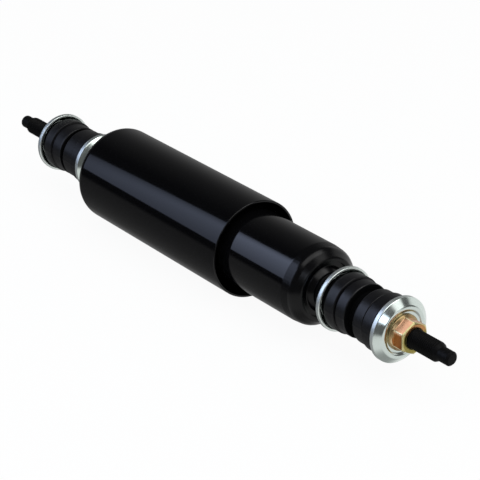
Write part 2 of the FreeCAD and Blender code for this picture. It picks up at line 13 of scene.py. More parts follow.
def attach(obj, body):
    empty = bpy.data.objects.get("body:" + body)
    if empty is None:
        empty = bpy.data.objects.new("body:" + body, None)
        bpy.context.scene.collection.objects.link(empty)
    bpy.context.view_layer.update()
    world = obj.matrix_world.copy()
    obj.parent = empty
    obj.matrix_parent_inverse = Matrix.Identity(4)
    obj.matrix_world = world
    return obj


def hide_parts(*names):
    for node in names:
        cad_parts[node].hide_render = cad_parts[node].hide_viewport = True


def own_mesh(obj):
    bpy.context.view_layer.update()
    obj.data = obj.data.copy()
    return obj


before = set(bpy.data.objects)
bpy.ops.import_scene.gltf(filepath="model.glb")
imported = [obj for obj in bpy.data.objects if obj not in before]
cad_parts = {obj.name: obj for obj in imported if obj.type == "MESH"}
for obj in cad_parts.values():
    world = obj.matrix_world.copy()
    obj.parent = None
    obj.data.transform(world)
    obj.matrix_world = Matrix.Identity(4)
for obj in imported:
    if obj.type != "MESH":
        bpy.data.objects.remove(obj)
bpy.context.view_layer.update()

LOG = logging.getLogger("shock_absorber")

MM = 0.001
SEGMENTS = 144             # steps round a turned piece
SLIM_SEGMENTS = 72         # the same round a stud or a spring
EDGE_BREAK = 0.12          # mm, the smallest rounding of an edge
EDGE_SUPPORT = 0.15        # mm, row beside each rounding that keeps flat faces flat
INNER_BEND = 0.2           # mm, the smallest rounding on the inside of a bend
SIDE_SHARE = 0.48          # share of a side that the rounding at one of its ends may take
ARC_STEP = 9               # degrees between the points of a rounding
BRACKET_GAP = 242.0        # mm between the two bracket planes
HALF_SIDE = math.pi / 6    # half the angle that a side of a hexagon takes
FLAT_STEPS = 6             # steps over the flat between two corners of a nut
NOISE_LOW, NOISE_HIGH = 0.3, 0.7       # range that most values of a noise texture lie in
MIX_LOW, MIX_HIGH = 2, 3               # number sockets of the Mix node
MIX_A, MIX_B, MIX_RESULT = 6, 7, 2     # colour sockets of the Mix node

# Rows of points at a nut's corner, in half widths of its rounding.
CORNER_STEPS = (-1.25, -1.0, -0.66, -0.33, 0.0, 0.33, 0.66, 1.0, 1.25)
# One turn of a rolled thread: share of the pitch, and height as a share of the depth.
THREAD_SHAPE = (
    (0.0, 0.97), (0.06, 1.0), (0.125, 0.97), (0.28, 0.5),
    (0.44, 0.05), (0.56, 0.0), (0.69, 0.05), (0.84, 0.5),
)

Point = tuple[float, float]
Point3 = tuple[float, float, float]
Swell = Callable[[float, float, float], float]


def linear(code: str) -> tuple[float, float, float, float]:
    """Turn an sRGB hex colour into linear RGBA.

    Args:
        code: colour such as "#1A2B3C".

    Returns:
        Linear red, green, blue and an alpha of 1.
    """
    channels = [int(code[i:i + 2], 16) / 255 for i in (1, 3, 5)]
    red, green, blue = (c / 12.92 if c <= 0.04045 else ((c + 0.055) / 1.055) ** 2.4 for c in channels)
    return red, green, blue, 1.0


def per_mm(size: float) -> float:
    """Texture scale, in object metres, at which one feature is size millimetres wide."""
    return 1.0 / (size * MM)


def add_node(
    tree: bpy.types.NodeTree,
    kind: str,
    settings: Optional[dict[str, Any]] = None,
    links: Optional[dict[Union[str, int], Any]] = None,
) -> bpy.types.Node:
    """Add a shader node, set its own properties and fill or link its inputs.

    Args:
        tree: node tree that gets the node.
        kind: Blender's identifier of the node.
        settings: properties of the node, by name.
        links: inputs by name or index; a socket is linked, anything else becomes the default value.

    Returns:
        The new node.
    """
    node = tree.nodes.new(kind)
    for name, value in (settings or {}).items():
        setattr(node, name, value)
    for key, value in (links or {}).items():
        if isinstance(value, bpy.types.NodeSocket):
            tree.links.new(value, node.inputs[key])
        else:
            node.inputs[key].default_value = value
    return node


@dataclass(frozen=True)
class Finish:
    """A surface finish: what it is made of, and the node tree that shows it.

    Attributes:
        name: common name of the material and how its surface was made.
        slot: material slot of the record that it stands for; not used.
        tone: main colour, sRGB hex.
        tone_b: colour of its patches, sRGB hex.
        patch_mm: size of the colour patches.
        metallic: 1 for bare metal, 0 for paint, rubber and plastic.
        roughness: lowest and highest roughness.
        haze_mm: size of the patches of roughness.
        grain_mm: size of the surface grain.
        grain_height_mm: height of the grain.
        grain_stretch: how far the grain is drawn out along X, Y and Z.
        ior: refractive index; None keeps the default, as for metal.
    """

    name: str
    slot: str
    tone: str
    tone_b: str
    patch_mm: float
    metallic: float
    roughness: tuple[float, float]
    haze_mm: float
    grain_mm: float
    grain_height_mm: float
    grain_stretch: Point3 = (1.0, 1.0, 1.0)
    ior: Optional[float] = None

    def material(self) -> bpy.types.Material:
        """Make the material, or hand back the one already made.

        Returns:
            The material with its whole node tree.
        """
        known = bpy.data.materials.get(self.name)
        if known is not None:
            return known
        material = bpy.data.materials.new(self.name)
        material.use_nodes = True
        tree = material.node_tree
        shader = tree.nodes["Principled BSDF"]
        shader.inputs["Metallic"].default_value = self.metallic
        if self.ior is not None:
            shader.inputs["IOR"].default_value = self.ior
        place = add_node(tree, "ShaderNodeTexCoord").outputs["Object"]
        tree.links.new(self.colour(tree, place), shader.inputs["Base Color"])
        tree.links.new(self.gloss(tree, place), shader.inputs["Roughness"])
        tree.links.new(self.relief(tree, place), shader.inputs["Normal"])
        material.diffuse_color = linear(self.tone)
        return material

    def colour(self, tree: bpy.types.NodeTree, place: bpy.types.NodeSocket) -> bpy.types.NodeSocket:
        """Patches of the second tone over the main one.

        Args:
            tree: the material's node tree.
            place: object coordinates.

        Returns:
            Socket of the colour.
        """
        patches = add_node(tree, "ShaderNodeTexNoise", links={
            "Vector": place, "Scale": per_mm(self.patch_mm), "Detail": 4.0, "Roughness": 0.6})
        mix = add_node(tree, "ShaderNodeMix", {"data_type": "RGBA"}, {
            0: patches.outputs["Fac"], MIX_A: linear(self.tone), MIX_B: linear(self.tone_b)})
        return mix.outputs[MIX_RESULT]

    def gloss(self, tree: bpy.types.NodeTree, place: bpy.types.NodeSocket) -> bpy.types.NodeSocket:
        """Patches of rougher and smoother surface, as handling and oil leave them.

        Args:
            tree: the material's node tree.
            place: object coordinates.

        Returns:
            Socket of the roughness.
        """
        haze = add_node(tree, "ShaderNodeTexNoise", links={
            "Vector": place, "Scale": per_mm(self.haze_mm), "Detail": 5.0, "Roughness": 0.65})
        low, high = self.roughness
        span = add_node(tree, "ShaderNodeMapRange", links={
            "Value": haze.outputs["Fac"], "From Min": NOISE_LOW, "From Max": NOISE_HIGH,
            "To Min": low, "To Max": high})
        return span.outputs["Result"]

    def relief(self, tree: bpy.types.NodeTree, place: bpy.types.NodeSocket) -> bpy.types.NodeSocket:
        """Surface grain, drawn out along an axis where the process leaves lines.

        Args:
            tree: the material's node tree.
            place: object coordinates.

        Returns:
            Socket of the bumped normal.
        """
        stretch = tuple(1.0 / s for s in self.grain_stretch)
        drawn = add_node(tree, "ShaderNodeMapping", links={"Vector": place, "Scale": stretch})
        grain = add_node(tree, "ShaderNodeTexNoise", links={
            "Vector": drawn.outputs["Vector"], "Scale": per_mm(self.grain_mm), "Detail": 3.0})
        bump = add_node(tree, "ShaderNodeBump", links={
            "Height": grain.outputs["Fac"], "Strength": 1.0, "Distance": self.grain_height_mm * MM})
        return bump.outputs["Normal"]


@dataclass(frozen=True)
class ChromatedZinc(Finish):
    """Yellow chromate over zinc on the nuts: a film that changes colour with its thickness, with painted
    shade low on the nut and painted highlights on its corners.

    Attributes:
        run_tone: amber brown of the lower flats, sRGB hex: painted shade.
        flange_tone: sandy brown of the flange, sRGB hex.
        edge_tone: pale yellow of the chamfer, where the film is thinnest, sRGB hex.
        corner_tone: near-white yellow of the hexagon's corners, sRGB hex: painted highlight.
        face_tone: amber of the outer face, sRGB hex.
        shade_tone: olive of the face's lower half, sRGB hex.
        run_at: heights above the axis between which the painted shade comes in, amber on the flats and olive
            on the face, in nut heights.
        flange_at, edge_at, face_at: the same along the axis, from the flange's seat.
        corner_mm: distances from the axis between which the painted highlight comes in at the corners.
        middle_mm: plane along X midway between the two nuts.
        nut_mm: distances from that plane at which a nut begins and ends.
        film_mm: size of the drifts in the film.
        film_drift: how far they move the borders between tones, in nut heights.
    """

    # Painted shade: amber brown on the lower flats.
    run_tone: str = "#A4642F"
    flange_tone: str = "#B0956A"
    edge_tone: str = "#DDD296"
    # Painted highlight: near-white on the hexagon's corners.
    corner_tone: str = "#F8E4BC"
    face_tone: str = "#CB9560"
    shade_tone: str = "#A39650"
    # Heights of the painted shade low on the nut.
    run_at: Point = (0.42, 0.24)
    flange_at: Point = (0.34, 0.2)
    edge_at: Point = (0.83, 0.91)
    face_at: Point = (0.97, 0.995)
    # Radii of the painted highlight on the corners.
    corner_mm: Point = (7.96, 8.08)
    middle_mm: float = 121.0
    nut_mm: Point = (143.1, 151.4)
    film_mm: float = 5.0
    film_drift: float = 0.1

    def colour(self, tree: bpy.types.NodeTree, place: bpy.types.NodeSocket) -> bpy.types.NodeSocket:
        """Rose flats with amber painted shade lower down, painted highlights on the corners, a sandy flange,
        and an amber face with olive painted shade on its lower half.

        Args:
            tree: the material's node tree.
            place: object coordinates.

        Returns:
            Socket of the colour.
        """
        film = add_node(tree, "ShaderNodeTexNoise", links={
            "Vector": place, "Scale": per_mm(self.film_mm), "Detail": 2.0})
        drift = add_node(tree, "ShaderNodeMapRange", links={
            "Value": film.outputs["Fac"], "From Min": NOISE_LOW, "From Max": NOISE_HIGH,
            "To Min": -self.film_drift, "To Max": self.film_drift})
        along, _, height = add_node(tree, "ShaderNodeSeparateXYZ", links={0: place}).outputs
        off = add_node(tree, "ShaderNodeMath", {"operation": "SUBTRACT"}, {0: along, 1: self.middle_mm * MM})
        out = add_node(tree, "ShaderNodeMath", {"operation": "ABSOLUTE"}, {0: off.outputs[0]})
        start, end = self.nut_mm
        share = add_node(tree, "ShaderNodeMapRange", {"clamp": False}, {
            "Value": out.outputs[0], "From Min": start * MM, "From Max": end * MM}).outputs["Result"]
        rise = add_node(tree, "ShaderNodeMath", {"operation": "MULTIPLY"}, {
            0: height, 1: per_mm(end - start)}).outputs[0]
        share_drifting, rise_drifting = (
            add_node(tree, "ShaderNodeMath", {"operation": "ADD"}, {
                0: level, 1: drift.outputs["Result"]}).outputs[0] for level in (share, rise))
        aside = add_node(tree, "ShaderNodeVectorMath", {"operation": "MULTIPLY"}, {
            0: place, 1: (0.0, 1.0, 1.0)})
        radius = add_node(tree, "ShaderNodeVectorMath", {"operation": "LENGTH"}, {
            0: aside.outputs[0]}).outputs["Value"]

        inner, outer = self.corner_mm
        # The run zone paints shade low on the nut, amber on the flats and olive on the face; the corner zone
        # paints a highlight.
        zones = {
            "run": (rise_drifting, self.run_at),
            "corner": (radius, (inner * MM, outer * MM)),
            "flange": (share_drifting, self.flange_at),
            "edge": (share, self.edge_at),
            "face": (share, self.face_at),
        }
        masks = {}
        for name, (level, (begin, full)) in zones.items():
            masks[name] = add_node(tree, "ShaderNodeMapRange", {"interpolation_type": "SMOOTHSTEP"}, {
                "Value": level, "From Min": begin, "From Max": full}).outputs["Result"]
        face = add_node(tree, "ShaderNodeMix", {"data_type": "RGBA"}, {
            0: masks["run"], MIX_A: linear(self.face_tone), MIX_B: linear(self.shade_tone)})
        tones = {
            "run": linear(self.run_tone),
            "corner": linear(self.corner_tone),
            "flange": linear(self.flange_tone),
            "edge": linear(self.edge_tone),
            "face": face.outputs[MIX_RESULT],
        }
        colour = super().colour(tree, place)
        for name, tone in tones.items():
            colour = add_node(tree, "ShaderNodeMix", {"data_type": "RGBA"}, {
                0: masks[name], MIX_A: colour, MIX_B: tone}).outputs[MIX_RESULT]
        return colour


# Sprayed and stoved black enamel on drawn tube: deep gloss with a faint orange peel in long reflections.
# The peel's real height of about 1 micron is kept; its cells are 2 mm.
ENAMEL = Finish(
    "gloss_black_stoved_enamel", "gloss_black_paint", "#040405", "#070708", patch_mm=60.0, metallic=0.0,
    roughness=(0.05, 0.10), haze_mm=22.0, grain_mm=2.0, grain_height_mm=0.0012, ior=1.36)
# The same enamel on the reservoir with a higher refractive index, so its reflections are brighter than on the
# shield.
BRIGHTER_ENAMEL = replace(ENAMEL, name="unworn_black_stoved_enamel", ior=1.46)
# The same enamel on the swaged end and its cap, darker and with softer, weaker reflections: painted shade on
# the end of the reservoir.
SHADED_END_ENAMEL = Finish(
    "thin_black_stoved_enamel", "gloss_black_paint", "#030304", "#060607", patch_mm=20.0, metallic=0.0,
    roughness=(0.17, 0.26), haze_mm=9.0, grain_mm=0.6, grain_height_mm=0.0008, ior=1.3)
# Black phosphate and oil on a rolled thread: near-black, satin, slightly blotchy.
# Its crystals of a few hundredths of a millimetre are drawn at 0.3 mm so that they show.
PHOSPHATE = Finish(
    "black_phosphated_rolled_steel", "black_stud", "#040404", "#080808", patch_mm=3.0, metallic=0.0,
    roughness=(0.42, 0.6), haze_mm=2.5, grain_mm=0.3, grain_height_mm=0.008, ior=1.2)
# Bright zinc with a clear passivate on a pressed cup: mirror-like, slightly green, softened by the draw.
ZINC = Finish(
    "clear_passivated_zinc_on_pressed_steel", "bright_zinc", "#E9F3EE", "#DBE7E1", patch_mm=9.0, metallic=1.0,
    roughness=(0.12, 0.22), haze_mm=5.0, grain_mm=0.8, grain_height_mm=0.0008, grain_stretch=(4.0, 1.0, 1.0))
# The same zinc on the cup's sheared edge and lip, rubbed by tumbling: pale and satin.
RIM_ZINC = Finish(
    "clear_passivated_zinc_on_tumbled_edge", "bright_zinc", "#F0F7F3", "#E2EAE6", patch_mm=6.0, metallic=1.0,
    roughness=(0.34, 0.46), haze_mm=4.0, grain_mm=0.5, grain_height_mm=0.0015)
# Yellow chromated zinc on a cold-forged nut: gold with rose drifts, satin from the forging, with painted
# shade in amber and olive low on the nut and painted highlights on its corners.
YELLOW_ZINC = ChromatedZinc(
    "yellow_chromated_zinc_on_forged_steel", "yellow_zinc", "#F6C2A4", "#E8A87E", patch_mm=4.0, metallic=0.9,
    roughness=(0.24, 0.34), haze_mm=3.0, grain_mm=0.35, grain_height_mm=0.006)
# Compression-moulded rubber: charcoal, satin, with a grey bloom and the grain of the mould, drawn at
# 0.5 mm so that it shows.
RUBBER = Finish(
    "compression_moulded_rubber", "bushing_rubber", "#08080A", "#0D0D10", patch_mm=12.0, metallic=0.0,
    roughness=(0.3, 0.42), haze_mm=6.0, grain_mm=0.5, grain_height_mm=0.02, ior=1.39)
# The same rubber between the bushings, darker and almost without shine: painted shade for the deep gap
# between them.
GAP_SHADE_RUBBER = Finish(
    "as_moulded_dull_rubber", "bushing_rubber", "#040405", "#070708", patch_mm=6.0, metallic=0.0,
    roughness=(0.75, 0.9), haze_mm=4.0, grain_mm=0.5, grain_height_mm=0.02, ior=1.12)
# Nitrile rubber, moulded smooth and wet with oil: black, with a soft shine.
NITRILE = Finish(
    "moulded_nitrile_rubber", "seal_rubber", "#101010", "#191919", patch_mm=6.0, metallic=0.0,
    roughness=(0.28, 0.42), haze_mm=4.0, grain_mm=0.4, grain_height_mm=0.006, ior=1.5)
# Hard chrome on a ground rod: a mirror with rings from grinding, drawn at 0.25 mm so that they show.
CHROME = Finish(
    "hard_chrome_on_ground_steel", "chromed_rod", "#C9CBD0", "#BFC2C8", patch_mm=30.0, metallic=1.0,
    roughness=(0.05, 0.1), haze_mm=12.0, grain_mm=0.25, grain_height_mm=0.0008, grain_stretch=(0.4, 6.0, 6.0))
# Cold-drawn steel with a film of oil: grey, with lines along the draw, drawn at 0.3 mm so that they show.
DRAWN = Finish(
    "oiled_cold_drawn_steel", "drawn_steel", "#9B9CA0", "#86888C", patch_mm=10.0, metallic=1.0,
    roughness=(0.22, 0.36), haze_mm=5.0, grain_mm=0.3, grain_height_mm=0.003, grain_stretch=(8.0, 1.0, 1.0))
# Polished spring strip: bright grey with a bluish cast from hardening, and scratches drawn at 0.2 mm so
# that they show.
STRIP = Finish(
    "polished_spring_strip", "spring_steel", "#A3A7AE", "#8F95A0", patch_mm=5.0, metallic=1.0,
    roughness=(0.14, 0.24), haze_mm=3.0, grain_mm=0.2, grain_height_mm=0.002)
# Sintered iron: dark grey and porous, pores of about 0.2 mm drawn at 0.4 mm so that they show.
SINTER = Finish(
    "oil_soaked_sintered_iron", "sintered_iron", "#5F6063", "#4A4B4E", patch_mm=4.0, metallic=1.0,
    roughness=(0.45, 0.62), haze_mm=2.0, grain_mm=0.4, grain_height_mm=0.02)
# Rolled bronze bush: warm, with turned rings, drawn at 0.25 mm so that they show.
BRONZE = Finish(
    "rolled_bronze", "bronze", "#B98A4E", "#A67A42", patch_mm=6.0, metallic=1.0,
    roughness=(0.24, 0.36), haze_mm=3.0, grain_mm=0.25, grain_height_mm=0.003, grain_stretch=(0.5, 5.0, 5.0))
# Bronze-filled low-friction plastic, skived into a ring: dull olive brown.
PTFE = Finish(
    "filled_fluoropolymer_ring", "filled_ptfe", "#4A463A", "#3C3A31", patch_mm=4.0, metallic=0.0,
    roughness=(0.5, 0.62), haze_mm=3.0, grain_mm=0.3, grain_height_mm=0.006, grain_stretch=(0.6, 3.0, 3.0),
    ior=1.36)


class End(Enum):
    """The two ends of the shock absorber."""

    LOWER = "lower"
    UPPER = "upper"

    @property
    def bracket_x(self) -> float:
        """Where the bracket's plate sits, in mm."""
        return 0.0 if self is End.LOWER else BRACKET_GAP

    @property
    def outward(self) -> int:
        """Direction along X from the damper's middle to this end."""
        return -1 if self is End.LOWER else 1

    @property
    def body(self) -> str:
        """CAD body that carries this end's hardware."""
        return "reservoir" if self is End.LOWER else "rod"


class Side(Enum):
    """Which side of the bracket's plate a retainer or bushing is on."""

    INNER = -1
    OUTER = 1

    @property
    def label(self) -> str:
        """Word used in node names."""
        return self.name.lower()


@dataclass(frozen=True)
class Placement:
    """Where a piece made along +X from 0 goes: a plane and a direction along X."""

    x: float = 0.0
    direction: int = 1

    def metres(self, point: Point3) -> Vector:
        """Point of the row frame in metres; turning by half a turn keeps threads right-handed."""
        x, y, z = point
        return Vector((self.x + self.direction * x, self.direction * y, z)) * MM


def rounded(corners: Sequence[Sequence[float]]) -> list[Point]:
    """Sample a closed outline with its corners rounded.

    Args:
        corners: (x, r) or (x, r, rounding) in mm, in order round the outline.

    Returns:
        Points along the outline, with close rows beside each rounding.
    """
    count = len(corners)
    arcs: list[list[Vector]] = []
    for i, corner in enumerate(corners):
        here = Vector(corner[:2])
        to_last = Vector(corners[i - 1][:2]) - here
        to_next = Vector(corners[(i + 1) % count][:2]) - here
        half = to_last.angle(to_next) / 2
        radius = corner[2] if len(corner) > 2 else EDGE_BREAK
        reach = min(radius / math.tan(half), SIDE_SHARE * to_last.length, SIDE_SHARE * to_next.length)
        radius = reach * math.tan(half)
        # A corner on the axis stays sharp, and so does one that is too fine to round.
        if here.y < 1e-6 or radius < 1e-4:
            arcs.append([here])
            continue
        start = here + to_last.normalized() * reach
        end = here + to_next.normalized() * reach
        inwards = (to_last.normalized() + to_next.normalized()).normalized()
        centre = here + inwards * (radius / math.sin(half))
        turn = math.pi - 2 * half
        steps = max(3, math.ceil(math.degrees(turn) / ARC_STEP))
        from_centre = start - centre
        way = 1 if from_centre.x * (end - centre).y - from_centre.y * (end - centre).x > 0 else -1
        arc = []
        for k in range(steps + 1):
            angle = way * turn * k / steps
            cosine, sine = math.cos(angle), math.sin(angle)
            arc.append(centre + Vector((from_centre.x * cosine - from_centre.y * sine,
                                        from_centre.x * sine + from_centre.y * cosine)))
        arcs.append(arc)
    points: list[Point] = []
    for i, arc in enumerate(arcs):
        points.extend((p.x, p.y) for p in arc)
        start, end = arc[-1], arcs[(i + 1) % count][0]
        run = end - start
        if run.length > 4 * EDGE_SUPPORT:
            for place in (start + run.normalized() * EDGE_SUPPORT, end - run.normalized() * EDGE_SUPPORT):
                points.append((place.x, place.y))
    return points


def parallel(points: Sequence[Sequence[float]], sheet: float) -> list[list[float]]:
    """Corners of a line beside another one.

    Args:
        points: (x, r) or (x, r, rounding) in mm.
        sheet: distance to the right of the points, mm.

    Returns:
        One corner for each point.
    """
    places = [Vector(point[:2]) for point in points]
    normals = [Vector((b.y - a.y, a.x - b.x)).normalized() for a, b in zip(places, places[1:])]
    beside = []
    for i, point in enumerate(points):
        before, after = normals[max(i - 1, 0)], normals[min(i, len(normals) - 1)]
        corner = list(places[i] + (before + after) * (sheet / (1 + before.dot(after))))
        if len(point) > 2:
            turn = before.x * after.y - before.y * after.x
            at_end = i in (0, len(points) - 1)
            corner.append(max(point[2] + (0 if at_end else math.copysign(sheet, turn)), INNER_BEND))
        beside.append(corner)
    return beside


def pressed(points: Sequence[Sequence[float]], sheet: float) -> list[list[float]]:
    """Close a line of corners into a sheet of even thickness.

    Args:
        points: (x, r) or (x, r, rounding) in mm, with the sheet on the right of the line.
        sheet: thickness, mm.

    Returns:
        Corners of the whole outline.
    """
    return [list(point) for point in points] + parallel(points, sheet)[::-1]


@dataclass(frozen=True)
class Thread:
    """A right-hand thread that runs out at both ends.

    Attributes:
        start: first plane along X, mm.
        end: last plane along X, mm.
        crest_r: outer radius.
        root_r: radius at the root.
        pitch: distance between turns.
        start_r: radius at the first plane.
        end_r: radius at the last plane.
        start_slope: how fast the radius may rise from the first plane.
        end_slope: how fast it falls towards the last plane.
    """

    start: float
    end: float
    crest_r: float
    root_r: float
    pitch: float
    start_r: float
    end_r: float
    start_slope: float = 1.0
    end_slope: float = 1.0

    def steps(self) -> list[Point]:
        """Shape of one turn as (share of the pitch, radius)."""
        depth = self.crest_r - self.root_r
        return [(share, self.root_r + depth * height) for share, height in THREAD_SHAPE]

    def radius(self, x: float, flank: float) -> float:
        """Radius at x, kept under the run-out cones of both ends."""
        start_cone = self.start_r + self.start_slope * (x - self.start)
        return min(flank, start_cone, self.end_r + self.end_slope * (self.end - x))


@dataclass
class Draft:
    """A mesh in the making: rings of points joined into a skin.

    Attributes:
        place: where the piece goes.
        verts: points in metres, in the row frame.
        faces: indices of each face's points.
    """

    place: Placement = field(default_factory=Placement)
    verts: list[Vector] = field(default_factory=list)
    faces: list[tuple[int, ...]] = field(default_factory=list)

    def rings(self, rings: Sequence[Sequence[Point3]], closed: bool) -> None:
        """Join rings of points, each to the next.

        Args:
            rings: rings with the same number of points, in mm.
            closed: whether the last ring joins the first.
        """
        first = len(self.verts)
        size = len(rings[0])
        for ring in rings:
            self.verts.extend(self.place.metres(point) for point in ring)
        for i in range(len(rings) if closed else len(rings) - 1):
            here = first + i * size
            there = first + (i + 1) % len(rings) * size
            for j in range(size):
                k = (j + 1) % size
                self.faces.append((here + j, here + k, there + k, there + j))

    def bar(self, rings: Sequence[Sequence[Point3]]) -> None:
        """Join rings of points into a bar with both ends covered.

        Args:
            rings: cross-sections from one end to the other, in mm.
        """
        first = len(self.verts)
        self.rings(rings, False)
        size = len(rings[0])
        for start in (first, len(self.verts) - size):
            self.faces.append(tuple(range(start, start + size)))

    def lathe(
        self,
        corners: Sequence[Sequence[float]],
        swell: Optional[Swell] = None,
        segments: int = SEGMENTS,
    ) -> None:
        """Turn an outline round the X axis.

        Args:
            corners: outline as (x, r) or (x, r, rounding), mm.
            swell: gives the radius at (x, r, angle) where the piece isn't quite round.
            segments: steps round the axis.
        """
        rings = []
        for x, r in rounded(corners):
            ring = []
            for j in range(segments):
                angle = math.tau * j / segments
                radius = swell(x, r, angle) if swell else r
                ring.append((x, radius * math.cos(angle), radius * math.sin(angle)))
            rings.append(ring)
        self.rings(rings, True)

    def thread(self, thread: Thread, segments: int = SLIM_SEGMENTS) -> None:
        """Cut a thread: rows that climb along the helix and are clamped at both ends.

        Args:
            thread: sizes of the thread.
            segments: steps round the axis.
        """
        steps = thread.steps()
        turns = math.ceil((thread.end - thread.start) / thread.pitch) + 1
        first = len(self.verts)
        rows = 0
        for turn in range(-1, turns):
            for share, flank in steps:
                for j in range(segments):
                    angle = math.tau * j / segments
                    x = thread.start + (turn + share + j / segments) * thread.pitch
                    x = min(max(x, thread.start), thread.end)
                    r = thread.radius(x, flank)
                    self.verts.append(self.place.metres((x, r * math.cos(angle), r * math.sin(angle))))
                rows += 1
        for i in range(rows - 1):
            for j in range(segments):
                a, b = first + i * segments + j, first + (i + 1) * segments + j
                if j + 1 < segments:
                    self.faces.append((a, a + 1, b + 1, b))
                elif i + 1 + len(steps) < rows:
                    c = first + (i + len(steps)) * segments
                    self.faces.append((a, c, c + segments, b))

    def piece(
        self,
        name: str,
        finish: Finish,
        body: str,
        stands_for: Iterable[str] = (),
        under: Optional[tuple[Finish, float]] = None,
    ) -> bpy.types.Object:
        """Make the object, dress it and let it ride on its body.

        Args:
            name: name of the piece.
            finish: its surface.
            body: CAD body that carries it.
            stands_for: CAD nodes that it replaces.
            under: a second finish, and the distance from the placement's plane within which
                it is used, mm.

        Returns:
            The finished object.
        """
        mesh = bpy.data.meshes.new(name)
        mesh.from_pydata([tuple(v) for v in self.verts], [], self.faces)
        work = bmesh.new()
        work.from_mesh(mesh)
        bmesh.ops.remove_doubles(work, verts=work.verts, dist=1e-6)
        bmesh.ops.dissolve_degenerate(work, edges=work.edges, dist=1e-7)
        bmesh.ops.recalc_face_normals(work, faces=work.faces)
        work.to_mesh(mesh)
        work.free()
        mesh.shade_smooth()
        mesh.materials.append(finish.material())
        if under is not None:
            mesh.materials.append(under[0].material())
            for face in mesh.polygons:
                face.material_index = int(abs(face.center.x / MM - self.place.x) < under[1])
        thing = bpy.data.objects.new(name, mesh)
        bpy.context.scene.collection.objects.link(thing)
        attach(thing, body)
        for node in stands_for:
            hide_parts(node)
        LOG.info("%s: %d faces, %s", name, len(mesh.polygons), finish.name)
        return thing


